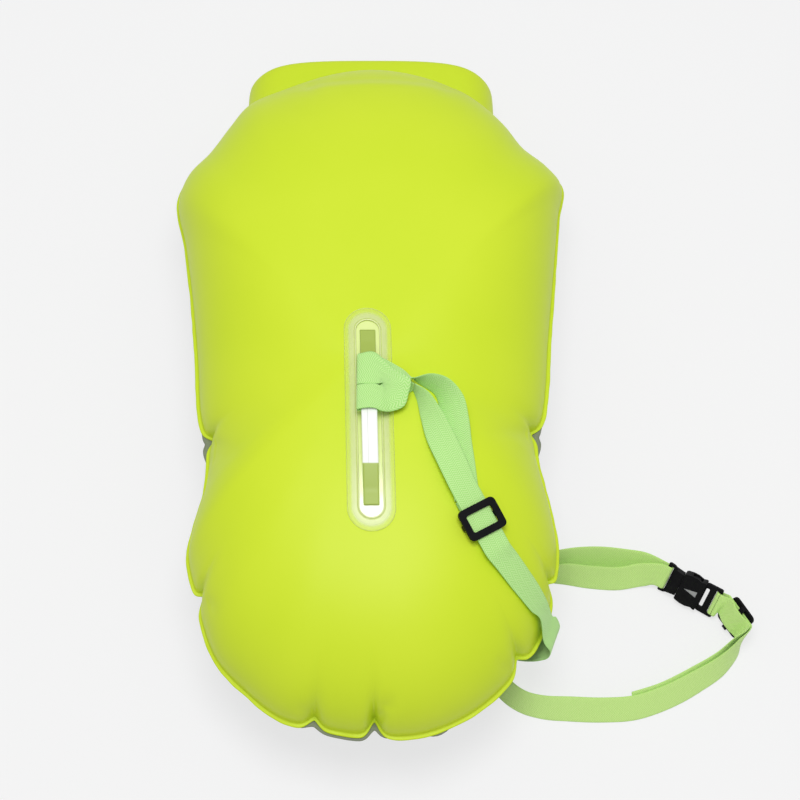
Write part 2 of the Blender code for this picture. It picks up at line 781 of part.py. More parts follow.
def rows_inside(rows, after, offsets):
    """Rows of a layer that goes back to the left of the last of these, level with them."""
    points = [Vector(row[:3]) for row in rows] + [Vector(after[:3])]
    found = []
    for step, offset in enumerate(offsets):
        k = len(rows) - 1 - step
        ahead = points[k + 1] - points[k - 1]
        left = Vector((-ahead.y, ahead.x, 0.0)).normalized()
        found.append((*(points[k] + left * offset), *rows[k][3:]))
    return found


def belt_loop_matrix():
    x, y, lean, lift = belt_loop_place
    row = lean_rows((belt_loop_place,), belt_upper_route[-1], belt_lower_route[0])[0]
    ahead = Vector(belt_lower_route[0][:2]) - Vector(belt_upper_route[-1][:2])
    x_axis = Vector((ahead.x, ahead.y, 0.0))
    return frame_matrix(Vector(row[:3]), x_axis, x_axis.cross(Vector(row[3:])))


def standing_matrix(x, y, heading, lean, width, thickness):
    """Frame of a piece that stands on its edge, leaning back: +X along heading, +Y up its width."""
    x_axis = heading_vector(heading)
    behind = Vector((-x_axis.y, x_axis.x, 0.0))
    angle = math.radians(lean)
    y_axis = behind * math.sin(angle) + Vector((0.0, 0.0, math.cos(angle)))
    z_axis = x_axis.cross(y_axis)
    height = width / 2 * math.cos(angle) + thickness / 2 * math.sin(angle) + gap
    return frame_matrix(Vector((x, y, height)), x_axis, z_axis)


def belt_buckle_matrix():
    return standing_matrix(
        *belt_buckle_place, belt_buckle_heading, belt_buckle_lean, buckle_width, buckle_thickness
    )


def belt_slider_matrix():
    start = belt_buckle_matrix() @ Vector((buckle_length / 2 - buckle_end_bar / 2, 0.0, 0.0))
    place = start + heading_vector(belt_slider_bearing) * belt_slider_reach
    frame = standing_matrix(
        place.x, place.y, belt_slider_heading, belt_slider_lean, slider_width,
        webbing_thickness + 2 * gap + 2 * slider_frame_thickness,
    )
    return frame


def fold_round_bar(side, front):
    """Places in the buckle's frame of webbing that folds round the end bar on that side."""
    bar = buckle_length / 2 - buckle_end_bar / 2
    inward, outward = fold_radii()
    found = [(side * (bar + buckle_end_bar), front * outward)]
    for k in range(7):
        turn = math.pi * k / 6
        found.append((side * (bar - inward * math.sin(turn)), front * outward * math.cos(turn)))
    return found


def fold_radii():
    """Half sizes along X and Z of webbing folded clear of the corners of an end bar."""
    corner = math.sqrt(2) / 2
    clear = gap + webbing_thickness / 2
    return buckle_end_bar * corner + clear, buckle_bar_thickness * corner + clear


def make_belt():
    buckle = belt_buckle_matrix()
    slider = belt_slider_matrix()
    half = slider_length / 2 + gap
    plug_fold = local_rows(buckle, fold_round_bar(-1, 1))
    stub = half + webbing_thickness
    outer = local_rows(slider, ((stub, 0.0), (half, 0.0), (0.0, 0.0), (-half, 0.0), (-stub, 0.0)))
    rows = list(reversed(plug_fold))
    rows += lean_rows(belt_upper_route, plug_fold[0], belt_loop_place)
    rows += lean_rows((belt_loop_place,), belt_upper_route[-1], belt_lower_route[0])
    lower = lean_rows(belt_lower_route, belt_loop_place, outer[0])
    rows += lower + outer
    rows += local_rows(buckle, fold_round_bar(1, -1))
    make_ribbon("belt_webbing", ribbon_stations(rows), webbing_material)
    bar = buckle_length / 2 - buckle_end_bar / 2
    radius = fold_radii()[1]
    clear = bar + gap
    tail = local_rows(buckle, ((-clear, -radius), (-clear - slider_bar, -radius)))
    tail += lean_rows(plug_tail_route, tail[0], plug_tail_route[-1])
    make_ribbon("belt_plug_tail", ribbon_stations(tail), webbing_material)
    over = crossbar_step
    tail = local_rows(buckle, ((clear, radius), (clear + buckle_end_bar, radius)))
    tail += local_rows(slider, (
        (-half, layer_step), (-slider_bar, over), (slider_bar, over), (half, layer_step + gap),
        (stub, layer_step + webbing_thickness),
    ))
    tail += rows_inside(lower, outer[0], socket_tail_offsets)
    make_ribbon("belt_socket_tail", ribbon_stations(tail), webbing_material)
    empty = add_frame("belt_slider_frame", slider)
    make_slider("belt_slider", empty, -1, webbing_thickness / 2 + gap + slider_crossbar_thickness / 2)


# Hard parts


def outline_solid(name, loops, thickness, material, matrix=None):
    """A closed mesh from flat loops, the first the outline and the rest its holes, centered on Z."""
    curve = bpy.data.curves.new(name, "CURVE")
    curve.dimensions = "2D"
    curve.fill_mode = "BOTH"
    curve.extrude = thickness / 2
    for loop in loops:
        spline = curve.splines.new("POLY")
        spline.points.add(len(loop) - 1)
        for point, place in zip(spline.points, loop):
            point.co = (place[0], place[1], 0.0, 1.0)
        spline.use_cyclic_u = True
    drawn = bpy.data.objects.new(name, curve)
    parts.objects.link(drawn)
    bpy.context.view_layer.update()
    graph = bpy.context.evaluated_depsgraph_get()
    mesh = bpy.data.meshes.new_from_object(drawn.evaluated_get(graph))
    bpy.data.objects.remove(drawn, do_unlink=True)
    bm = bmesh.new()
    bm.from_mesh(mesh)
    bmesh.ops.remove_doubles(bm, verts=bm.verts, dist=gap / 10)
    bmesh.ops.dissolve_limit(bm, angle_limit=math.radians(1), verts=bm.verts, edges=bm.edges)
    if matrix is not None:
        bmesh.ops.transform(bm, matrix=matrix, verts=bm.verts)
    bpy.data.meshes.remove(mesh)
    return add_mesh_object(name, bm, material, smooth=False)


def rounded_box_outline(half_x, half_y, radius, steps=4):
    found = []
    for sign_x, sign_y, start in ((1, 1, 0), (-1, 1, 90), (-1, -1, 180), (1, -1, 270)):
        for k in range(steps + 1):
            turn = math.radians(start + 90 * k / steps)
            found.append((
                sign_x * (half_x - radius) + radius * math.cos(turn),
                sign_y * (half_y - radius) + radius * math.sin(turn),
            ))
    return found


def shifted(loop, x):
    return [(place[0] + x, place[1]) for place in loop]


def make_cutter(loops, thickness, matrix=None):
    cutter = outline_solid("cutter", loops, thickness, buckle_material, matrix)
    parts.objects.unlink(cutter)
    cutters.objects.link(cutter)
    cutter.hide_render = True
    cutter.display_type = "WIRE"
    return cutter


def combine(thing, other, operation):
    other.parent = thing.parent
    modifier = thing.modifiers.new(operation.title(), "BOOLEAN")
    modifier.operation = operation
    modifier.object = other


def make_slider(name, empty, ring_side, crossbar_height):
    """A webbing slider: a frame on one side of the webbing and a dropped bar on the other."""
    outline = rounded_box_outline(slider_length / 2, slider_width / 2, slider_corner)
    inner_x = slider_length / 2 - slider_bar
    inner_y = slider_width / 2 - slider_rail
    hole = rounded_box_outline(inner_x, inner_y, slider_corner / 3, 2)
    lift = ring_side * (webbing_thickness / 2 + gap + slider_frame_thickness / 2)
    ring = outline_solid(
        name, [outline, hole], slider_frame_thickness, buckle_material, Matrix.Translation((0, 0, lift))
    )
    parent_to(ring, empty)
    half = slider_crossbar_thickness / 2
    outer = slider_width / 2 - gap
    inner = inner_y + gap / 2
    far = crossbar_height - ring_side * half
    near = crossbar_height + ring_side * half
    bridge = [
        (-outer, lift), (-outer, far), (outer, far), (outer, lift), (inner, lift), (inner, near),
        (-inner, near), (-inner, lift),
    ]
    upright = Matrix.Rotation(math.radians(90), 4, "Z") @ Matrix.Rotation(math.radians(90), 4, "X")
    combine(ring, make_cutter([bridge], slider_bar, upright), "UNION")


def mirrored(half_outline):
    """A closed outline from its +Y half, given from -X to +X."""
    return list(half_outline) + [(x, -y) for x, y in reversed(half_outline)]


def arm_outline(side):
    """A latch arm from its round root, at the origin, to its nose."""
    radius = arm_root_radius
    nose = arm_reach - radius
    loop = [
        (radius * math.cos(math.radians(turn)), radius * math.sin(math.radians(turn)))
        for turn in range(90, 271, 30)
    ]
    loop += [
        (nose * 0.55, -radius * 0.8), (nose, -radius * 0.4), (nose + radius * 0.4, radius * 0.4),
        (nose - radius, arm_barb * 0.36), (nose * 0.76, arm_barb), (nose * 0.48, arm_barb),
        (nose * 0.40, arm_barb * 0.80), (nose * 0.36, radius * 1.1),
    ]
    loop = [(x, y * side) for x, y in loop]
    return loop if side > 0 else list(reversed(loop))


def make_buckle(name, matrix):
    """Side release buckle: +X from the plug to the socket, +Z out of its face."""
    half_length = buckle_length / 2
    half_width = buckle_width / 2
    slot_start = half_length - buckle_end_bar - buckle_slot
    socket_frame = add_frame(name + "_socket_frame", matrix)
    plug_frame = add_frame(name + "_plug_frame", matrix)
    waist = half_width * 0.91
    body_end = half_length - buckle_rear_length
    body_half = [
        (buckle_mouth, half_width * 0.86), (buckle_mouth + buckle_wall, half_width * 0.93),
        (buckle_mouth + buckle_window_start, half_width),
        (buckle_mouth + buckle_window_start + buckle_window_length * 0.5, half_width),
        (buckle_mouth + buckle_window_start + buckle_window_length, waist),
        (body_end - buckle_wall, half_width * 0.97), (body_end, half_width * 0.94),
    ]
    socket = outline_solid(name + "_socket", [mirrored(body_half)], buckle_thickness, buckle_material)
    parent_to(socket, socket_frame)
    cavity_end = body_end - buckle_wall
    cavity_length = cavity_end - buckle_mouth + overrun
    cavity_middle = cavity_end - cavity_length / 2
    cavity = rounded_box_outline(cavity_length / 2, buckle_cavity_width / 2, buckle_wall, 2)
    cavity_height = buckle_thickness - 2 * buckle_wall
    combine(socket, make_cutter([shifted(cavity, cavity_middle)], cavity_height), "DIFFERENCE")
    window_middle = buckle_mouth + buckle_window_start + buckle_window_length / 2
    window = rounded_box_outline(buckle_window_length / 2, half_width + overrun, buckle_wall / 2, 2)
    window_height = cavity_height - 2 * gap
    combine(socket, make_cutter([shifted(window, window_middle)], window_height), "DIFFERENCE")
    vent_start = buckle_mouth + buckle_window_start / 2
    vent = [
        (vent_start, 0.0), (vent_start + buckle_vent_length, -buckle_vent_width / 2),
        (vent_start + buckle_vent_length, buckle_vent_width / 2),
    ]
    above = Matrix.Translation((0, 0, buckle_thickness / 2))
    combine(socket, make_cutter([vent], 2 * buckle_wall + overrun, above), "DIFFERENCE")
    rear = [
        (body_end - buckle_wall * 0.8, half_width * 0.9), (body_end + buckle_wall, half_width * 0.98),
        (half_length - buckle_wall, half_width), (half_length, half_width * 0.95),
    ]
    slot_half = buckle_slot_length / 2
    slot = rounded_box_outline(buckle_slot / 2, slot_half, buckle_slot / 4, 2)
    second_x = body_end + buckle_slot * 0.75
    second = rounded_box_outline(buckle_slot * 0.42, slot_half * 0.8, buckle_slot / 4, 2)
    loops = [mirrored(rear), shifted(slot, slot_start + buckle_slot / 2), shifted(second, second_x)]
    combine(socket, make_cutter(loops, buckle_bar_thickness), "UNION")
    base_front = buckle_mouth - gap
    base_back = -slot_start - gap
    ladder = [
        (-half_length, half_width * 0.95), (-half_length + buckle_wall, half_width),
        (-slot_start - buckle_wall, half_width * 0.97), (-slot_start + buckle_wall * 1.5, half_width * 0.84),
    ]
    loops = [mirrored(ladder), shifted(slot, -slot_start - buckle_slot / 2)]
    plug = outline_solid(name + "_plug", loops, buckle_bar_thickness, buckle_material)
    parent_to(plug, plug_frame)
    base = [
        (base_back + buckle_wall / 2, half_width * 0.82), (base_back + buckle_wall * 2, half_width * 0.80),
        (base_front, half_width * 0.74),
    ]
    combine(plug, make_cutter([mirrored(base)], buckle_base_thickness), "UNION")
    guide_half = buckle_guide_width / 2
    guide = [(base_front - buckle_wall, guide_half), (base_front + buckle_guide_reach * 0.8, guide_half),
             (base_front + buckle_guide_reach, guide_half * 0.5)]
    combine(plug, make_cutter([mirrored(guide)], buckle_prong_thickness), "UNION")
    for side, word in ((1, "upper"), (-1, "lower")):
        root = (base_front + gap + arm_root_radius, side * arm_root_offset, 0.0)
        arm = outline_solid(f"{name}_{word}_latch_arm", [arm_outline(side)], buckle_prong_thickness, buckle_material)
        parent_to(arm, plug_frame)
        arm.location = root


def roll_buckle_matrix():
    """Frame of the buckle that joins the roll's ends on the underside, +Z facing down."""
    middle = (roll_front(roll_end_reach) + roll_rear(roll_end_reach)) / 2
    height = roll_center_height - roll_half_height + roll_thickness / 2
    return frame_matrix(Vector((0.0, middle, height)), Vector((1.0, 0.0, 0.0)), Vector((0.0, 0.0, -1.0)))


def make_roll_tabs():
    frame = roll_buckle_matrix()
    bar = buckle_length / 2 - buckle_end_bar / 2
    inward, radius = fold_radii()
    lie = roll_thickness / 2 + gap + webbing_thickness / 2
    end = roll_end_reach + stitch_length
    leg = [(end, lie), (roll_end_reach - gap, lie), (roll_end_reach * 0.78, (lie + radius) / 2), (bar, radius)]
    fold = [
        (bar - inward * math.sin(math.pi * k / 6), radius * math.cos(math.pi * k / 6)) for k in range(1, 6)
    ]
    path = leg + fold + [(x, -z) for x, z in reversed(leg)]
    for side, word in ((-1, "left"), (1, "right")):
        rows = local_rows(frame, [(side * x, z) for x, z in path])
        make_ribbon(f"roll_tab_{word}", ribbon_stations(rows), webbing_material)


# Valve


def turned(name, profile, material, closed=True):
    """A turned piece from a profile of radius and height that runs down its outer side."""
    bm = bmesh.new()
    verts = [bm.verts.new((radius, 0.0, height)) for radius, height in profile]
    for a, b in zip(verts, verts[1:]):
        bm.edges.new((a, b))
    if closed:
        bm.edges.new((verts[-1], verts[0]))
    mesh = bpy.data.meshes.new(name)
    bm.to_mesh(mesh)
    bm.free()
    mesh.materials.append(material)
    thing = bpy.data.objects.new(name, mesh)
    parts.objects.link(thing)
    screw = thing.modifiers.new("Screw", "SCREW")
    screw.steps = 28
    screw.render_steps = 28
    screw.use_merge_vertices = True
    screw.merge_threshold = gap / 10
    return thing


def valve_matrix():
    x = bag_half_width * valve_place_shares[0]
    y = mouth_reach * valve_place_shares[1]
    inward = surface_normal(under_height, x, y)
    origin = Vector((x, y, under_height(x, y))) - inward * gap
    return frame_matrix(origin, Vector((x, y, 0.0)), -inward)


def make_valve():
    frame = add_frame("valve_frame", valve_matrix())
    top = valve_flange_thickness + valve_stem_height
    body = turned("inflation_valve", [
        (valve_bore_radius + film, top), (valve_stem_radius - film, top), (valve_stem_radius, top - film),
        (valve_stem_radius, valve_flange_thickness), (valve_flange_radius, valve_flange_thickness),
        (valve_flange_radius, 0.0), (valve_bore_radius, 0.0), (valve_bore_radius, top - film),
    ], valve_material)
    parent_to(body, frame)
    hinge = add_frame("stopper_hinge", Matrix.Identity(4))
    hinge.parent = frame
    hinge_height = top + gap + film
    hinge.location = (stopper_hinge_reach, 0.0, hinge_height)
    cap = turned("valve_stopper", [
        (0.0, stopper_thickness), (stopper_radius - film, stopper_thickness),
        (stopper_radius, stopper_thickness - film), (stopper_radius, 0.0), (stopper_plug_radius, 0.0),
        (stopper_plug_radius - gap, -stopper_plug_length), (0.0, -stopper_plug_length),
    ], valve_material, closed=False)
    parent_to(cap, hinge)
    cap.location = (-stopper_hinge_reach, 0.0, -film)
    strap_start = stopper_radius - 2 * film - stopper_hinge_reach
    strap_end = -tether_radius - gap
    half = stopper_strap_width / 2
    strap = [(strap_start, half), (strap_end, half), (strap_end, -half), (strap_start, -half)]
    combine(cap, make_cutter([strap], film), "UNION")
    foot = valve_flange_thickness + gap - hinge_height
    post = [
        (tether_radius * math.cos(math.radians(turn)), tether_radius * math.sin(math.radians(turn)))
        for turn in range(0, 181, 30)
    ]
    post += [(-tether_radius, foot), (tether_radius, foot)]
    upright = Matrix.Rotation(math.radians(90), 4, "X")
    tether = outline_solid("stopper_tether", [post], stopper_strap_width, valve_material, upright)
    parent_to(tether, frame)
    tether.location = hinge.location


parts = None
clear_scene()
parts = new_collection(collection_name)
cutters = new_collection("cutters", hidden=True)
film_material = plain_material("bag_film", (0.62, 0.77, 0.03), 0.42)
underside_material = plain_material("underside_film", (0.21, 0.23, 0.19), 0.5)
liner_material = plain_material("liner_film", (0.70, 0.72, 0.70), 0.5)
clear_material = plain_material("clear_film", (0.80, 0.84, 0.62), 0.15, 0.5)
stiffener_material = plain_material("stiffener_plastic", (0.05, 0.05, 0.05), 0.5)
webbing_material = plain_material("green_webbing", (0.36, 0.74, 0.18), 0.75)
buckle_material = plain_material("black_acetal", (0.012, 0.012, 0.013), 0.35)
valve_material = plain_material("valve_plastic", (0.80, 0.82, 0.80), 0.35)
make_bag()
make_roll()
make_patch()
make_strip()
make_leash()
make_belt_loop()
make_belt()
make_buckle("belt_buckle", belt_buckle_matrix())
make_roll_tabs()
make_buckle("roll_buckle", roll_buckle_matrix())
make_valve()
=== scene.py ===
# Open water swim buoy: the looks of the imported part, in metres, +Z up
import bisect
from math import atan2, ceil, copysign, cos, dist, exp, hypot, pi, radians, sin, sqrt, tan, tau

import bmesh
import bpy
from mathutils import Matrix, Vector, noise


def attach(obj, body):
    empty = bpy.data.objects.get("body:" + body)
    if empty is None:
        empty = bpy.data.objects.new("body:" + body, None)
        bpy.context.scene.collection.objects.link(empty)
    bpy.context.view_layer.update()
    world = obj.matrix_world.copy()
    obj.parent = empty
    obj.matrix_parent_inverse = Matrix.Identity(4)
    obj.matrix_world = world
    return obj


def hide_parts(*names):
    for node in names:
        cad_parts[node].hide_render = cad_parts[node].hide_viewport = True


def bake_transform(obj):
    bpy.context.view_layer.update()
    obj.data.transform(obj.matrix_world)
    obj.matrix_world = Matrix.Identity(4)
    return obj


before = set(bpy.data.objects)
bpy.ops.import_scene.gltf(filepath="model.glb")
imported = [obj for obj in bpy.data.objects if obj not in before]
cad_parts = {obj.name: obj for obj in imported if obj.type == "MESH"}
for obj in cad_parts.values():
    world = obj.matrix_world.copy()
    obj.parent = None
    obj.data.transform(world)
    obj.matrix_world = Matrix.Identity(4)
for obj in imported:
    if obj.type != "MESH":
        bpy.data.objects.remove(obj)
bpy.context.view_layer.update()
scene = bpy.context.scene
scene.view_settings.view_transform = "Standard"
print("frame loaded")

# Camera

cameraSetup = {
    "elevation": 66.0,
    "distance": 1.80,
    "aim": (0.0275, 0.0, 0.092),
    "lens": 87.075,
    "sensor": 36.0,
    "nearest": 0.05,
}


def makeCamera():
    data = bpy.data.cameras.new("buoyCamera")
    data.lens = cameraSetup["lens"]
    data.sensor_width = cameraSetup["sensor"]
    data.clip_start = cameraSetup["nearest"]
    camera = bpy.data.objects.new("buoyCamera", data)
    scene.collection.objects.link(camera)
    lean = radians(cameraSetup["elevation"])
    away = Vector((0.0, -cos(lean), sin(lean)))
    camera.location = Vector(cameraSetup["aim"]) + away * cameraSetup["distance"]
    camera.rotation_euler = (radians(90.0) - lean, 0.0, 0.0)
    scene.camera = camera


makeCamera()
print("camera set")

# Mesh helpers


def rowNear(rows, n, closed):
    # Row n of a closed run, or the row of an open run that is nearest to n
    return rows[n % len(rows) if closed else min(max(n, 0), len(rows) - 1)]


def smoothRows(rows, step, places=3, closed=False):
    # A smooth curve through rows of numbers; the first few numbers of a row are its place
    rows = [Vector(row) for row in rows]
    found = []
    for span in range(len(rows) if closed else len(rows) - 1):
        a, b, c, d = (rowNear(rows, span + k, closed) for k in (-1, 0, 1, 2))
        before, along, after = (hypot(*(q - p)[:places]) for p, q in ((a, b), (b, c), (c, d)))
        start = end = c - b
        if before > 0:
            start = ((b - a) * (along / before) + (c - b) * (before / along)) * (along / (before + along))
        if after > 0:
            end = ((c - b) * (after / along) + (d - c) * (along / after)) * (along / (along + after))
        steps = max(1, ceil(along / step))
        for k in range(steps):
            t = k / steps
            found.append(tuple(
                b * (2 * t**3 - 3 * t**2 + 1) + start * (t**3 - 2 * t**2 + t)
                + c * (3 * t**2 - 2 * t**3) + end * (t**3 - t**2)
            ))
    return found if closed else found + [tuple(rows[-1])]


def addPiece(name, mesh, material, body, *nodes):
    piece = bpy.data.objects.new(name, mesh)
    scene.collection.objects.link(piece)
    mesh.materials.append(material)
    mesh.shade_smooth()
    if body:
        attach(piece, body)
    if nodes:
        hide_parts(*nodes)
    return piece


def modify(piece, kind, **values):
    modifier = piece.modifiers.new(kind.title(), kind)
    for label, value in values.items():
        setattr(modifier, label, value)


def meshFrom(name, bm):
    bmesh.ops.recalc_face_normals(bm, faces=bm.faces)
    mesh = bpy.data.meshes.new(name)
    bm.to_mesh(mesh)
    bm.free()
    return mesh


def ringMesh(name, rings, vs, us, closed):
    # A closed tube through rings of points, with the given places along and across as its UVs
    bm = bmesh.new()
    uv = bm.loops.layers.uv.new("UVMap")
    verts = [[bm.verts.new(point) for point in ring] for ring in rings]
    size, count = len(us), len(rings)
    for i in range(count if closed else count - 1):
        here, there = verts[i], verts[(i + 1) % count]
        near = vs[i]
        far = vs[i + 1] if i + 1 < count else near + vs[1] - vs[0]
        for j in range(size):
            k = (j + 1) % size
            face = bm.faces.new((here[j], here[k], there[k], there[j]))
            for loop, place in zip(face.loops, ((us[j], near), (us[k], near), (us[k], far), (us[j], far))):
                loop[uv].uv = place
    if not closed:
        bm.faces.new(verts[0])
        bm.faces.new(list(reversed(verts[-1])))
    return meshFrom(name, bm)


def collarMesh(name, columns, rows, place):
    # A closed collar with its points at place(share round, share outwards), and the shares as its UVs
    bm = bmesh.new()
    uv = bm.loops.layers.uv.new("UVMap")
    verts = [[bm.verts.new(place(i / columns, j / rows)) for j in range(rows + 1)] for i in range(columns)]
    for i in range(columns):
        here, there = verts[i], verts[(i + 1) % columns]
        for j in range(rows):
            face = bm.faces.new((here[j], there[j], there[j + 1], here[j + 1]))
            for loop, (a, b) in zip(face.loops, ((i, j), (i + 1, j), (i + 1, j + 1), (i, j + 1))):
                loop[uv].uv = (a / columns, b / rows)
    return meshFrom(name, bm)


def roundSheet(crown, rings):
    # A sheet of faces from its middle point out through closed rings of points
    bm = bmesh.new()
    middle = bm.verts.new(crown)
    rings = [[bm.verts.new(point) for point in ring] for ring in rings]
    for i, first in enumerate(rings[0]):
        n = (i + 1) % len(rings[0])
        bm.faces.new((middle, first, rings[0][n]))
        for inner, outer in zip(rings, rings[1:]):
            bm.faces.new((inner[i], outer[i], outer[n], inner[n]))
    return bm, rings


def frameMatrix(origin, xAxis, zAxis):
    zAxis = zAxis.normalized()
    yAxis = zAxis.cross(xAxis).normalized()
    matrix = Matrix((yAxis.cross(zAxis), yAxis, zAxis)).transposed().to_4x4()
    matrix.translation = origin
    return matrix


def placeIn(matrix, x, y=0.0, z=0.0):
    return matrix @ Vector((x, y, z))


def headingVector(degrees):
    return Vector((cos(radians(degrees)), sin(radians(degrees)), 0.0))


copyDetail = {"merge": 0.00001, "joinAngle": 1.2, "flatAngle": 1, "bevelAngle": 30, "sharpAngle": 50}


def tubeCopy(name, node, material, body, bevel=0.0, levels=0):
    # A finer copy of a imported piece: flat faces joined, then edges rounded or the form subdivided
    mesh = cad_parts[node].data.copy()
    mesh.name = name
    mesh.materials.clear()
    bm = bmesh.new()
    bm.from_mesh(mesh)
    bmesh.ops.remove_doubles(bm, verts=bm.verts, dist=copyDetail["merge"])
    if levels:
        angle = copyDetail["joinAngle"]
        bmesh.ops.join_triangles(bm, faces=bm.faces, angle_face_threshold=angle, angle_shape_threshold=angle)
    else:
        angle = radians(copyDetail["flatAngle"])
        bmesh.ops.dissolve_limit(bm, angle_limit=angle, verts=bm.verts, edges=bm.edges)
    bm.to_mesh(mesh)
    bm.free()
    piece = addPiece(name, mesh, material, body, node)
    if levels:
        modify(piece, "SUBSURF", levels=levels, render_levels=levels)
    else:
        angle = radians(copyDetail["bevelAngle"])
        modify(piece, "BEVEL", width=bevel, segments=2, limit_method="ANGLE", angle_limit=angle)
        mesh.set_sharp_from_angle(angle=radians(copyDetail["sharpAngle"]))
    return piece


# Node groups that several materials share


def nodeGroup(name, inputs, outputs):
    # A group with plain numbers in and out
    group = bpy.data.node_groups.new(name, "ShaderNodeTree")
    kind = "NodeSocketFloat"
    for label, value in inputs.items():
        group.interface.new_socket(label, in_out="INPUT", socket_type=kind).default_value = value
    for label in outputs:
        group.interface.new_socket(label, in_out="OUTPUT", socket_type=kind)
    return group, group.nodes.new("NodeGroupInput").outputs, group.nodes.new("NodeGroupOutput").inputs


def feed(tree, socket, value):
    # Gives a socket a number, a colour or what another node puts out
    if isinstance(value, tuple):
        socket.default_value = (*value, 1.0)
    elif isinstance(value, (int, float)):
        socket.default_value = value
    else:
        tree.links.new(value, socket)


def mathNode(tree, operation, *values, clamp=False):
    node = tree.nodes.new("ShaderNodeMath")
    node.operation = operation
    node.use_clamp = clamp
    for socket, value in zip(node.inputs, values):
        feed(tree, socket, value)
    return node.outputs[0]


def noiseNode(tree, vector, scale, detail=2.0):
    node = tree.nodes.new("ShaderNodeTexNoise")
    for label, value in (("Vector", vector), ("Scale", scale), ("Detail", detail)):
        feed(tree, node.inputs[label], value)
    return node.outputs["Fac"]


def mixColor(tree, factor, first, second):
    node = tree.nodes.new("ShaderNodeMix")
    node.data_type = "RGBA"
    for place, value in ((0, factor), (6, first), (7, second)):
        feed(tree, node.inputs[place], value)
    return node.outputs[2]


def objectPlace(tree):
    return tree.nodes.new("ShaderNodeTexCoord").outputs["Object"]


def uvPlaces(tree):
    node = tree.nodes.new("ShaderNodeUVMap")
    node.uv_map = "UVMap"
    split = tree.nodes.new("ShaderNodeSeparateXYZ")
    tree.links.new(node.outputs["UV"], split.inputs[0])
    return split.outputs["X"], split.outputs["Y"]


def filmGrainGroup():
    # Fine grain and broad mottling of a coated film
    sizes = {"Grain Size": 1400.0, "Mottle Size": 9.0}
    group, given, made = nodeGroup("filmGrain", sizes, ("Height", "Mottle"))
    place = objectPlace(group)
    group.links.new(noiseNode(group, place, given["Grain Size"]), made["Height"])
    group.links.new(noiseNode(group, place, given["Mottle Size"], 4.0), made["Mottle"])
    return group


def weaveGroup():
    # Ribs that zigzag across webbing, crossed by fine yarns, from UVs in metres
    group, given, made = nodeGroup(
        "webbingWeave",
        {
            "Rib Pitch": 0.0018, "Zigzag Pitch": 0.0066, "Zigzag Depth": 0.0024, "Half Width": 0.0125,
            "Yarn Pitch": 0.0011,
        },
        ("Height", "Edge"),
    )
    across, along = uvPlaces(group)
    column = mathNode(group, "MULTIPLY", given["Zigzag Pitch"], 0.5)
    zig = mathNode(group, "DIVIDE", mathNode(group, "PINGPONG", across, column), column)
    zig = mathNode(group, "MULTIPLY", zig, given["Zigzag Depth"])
    turn = mathNode(group, "DIVIDE", mathNode(group, "ADD", along, zig), given["Rib Pitch"])
    rib = mathNode(group, "SINE", mathNode(group, "MULTIPLY", turn, tau))
    turn = mathNode(group, "DIVIDE", across, given["Yarn Pitch"])
    yarn = mathNode(group, "SINE", mathNode(group, "MULTIPLY", turn, tau))
    lifted = mathNode(group, "MULTIPLY_ADD", rib, 0.42, 0.5)
    lifted = mathNode(group, "MULTIPLY_ADD", mathNode(group, "MULTIPLY", rib, yarn), 0.10, lifted)
    edge = mathNode(group, "DIVIDE", mathNode(group, "ABSOLUTE", across), given["Half Width"])
    edge = mathNode(group, "MULTIPLY", mathNode(group, "SUBTRACT", edge, 0.90), 10.0, clamp=True)
    group.links.new(lifted, made["Height"])
    group.links.new(edge, made["Edge"])
    return group


filmGrain = filmGrainGroup()
webbingWeave = weaveGroup()


def newMaterial(name, settings):
    # A material with the shader settings that its piece's dictionary gives
    material = bpy.data.materials.new(name)
    material.use_nodes = True
    tree = material.node_tree
    shader = tree.nodes["Principled BSDF"]
    for label, value in settings.items():
        shader.inputs[label].default_value = value
    return material, tree, shader


def placeGroup(tree, group):
    node = tree.nodes.new("ShaderNodeGroup")
    node.node_tree = group
    return node


def bumpFrom(tree, shader, height, strength, distance):
    node = tree.nodes.new("ShaderNodeBump")
    node.inputs["Strength"].default_value = strength
    node.inputs["Distance"].default_value = distance
    tree.links.new(height, node.inputs["Height"])
    tree.links.new(node.outputs["Normal"], shader.inputs["Normal"])


# Film

filmLook = {
    "lime": ((0.640, 0.780, 0.036), (0.575, 0.750, 0.020)),
    "limeShader": {"Roughness": 0.42, "Specular IOR Level": 0.20},
    "grey": ((0.235, 0.262, 0.190), (0.190, 0.214, 0.152)),
    "greyShader": {"Roughness": 0.55, "Specular IOR Level": 0.20},
    "bump": (0.35, 0.00010),
}


def filmMaterial(kind):
    material, tree, shader = newMaterial(kind + "Film", filmLook[kind + "Shader"])
    grain = placeGroup(tree, filmGrain)
    light, deep = filmLook[kind]
    tree.links.new(mixColor(tree, grain.outputs["Mottle"], deep, light), shader.inputs["Base Color"])
    bumpFrom(tree, shader, grain.outputs["Height"], *filmLook["bump"])
    return material


limeFilm = filmMaterial("lime")
greyFilm = filmMaterial("grey")

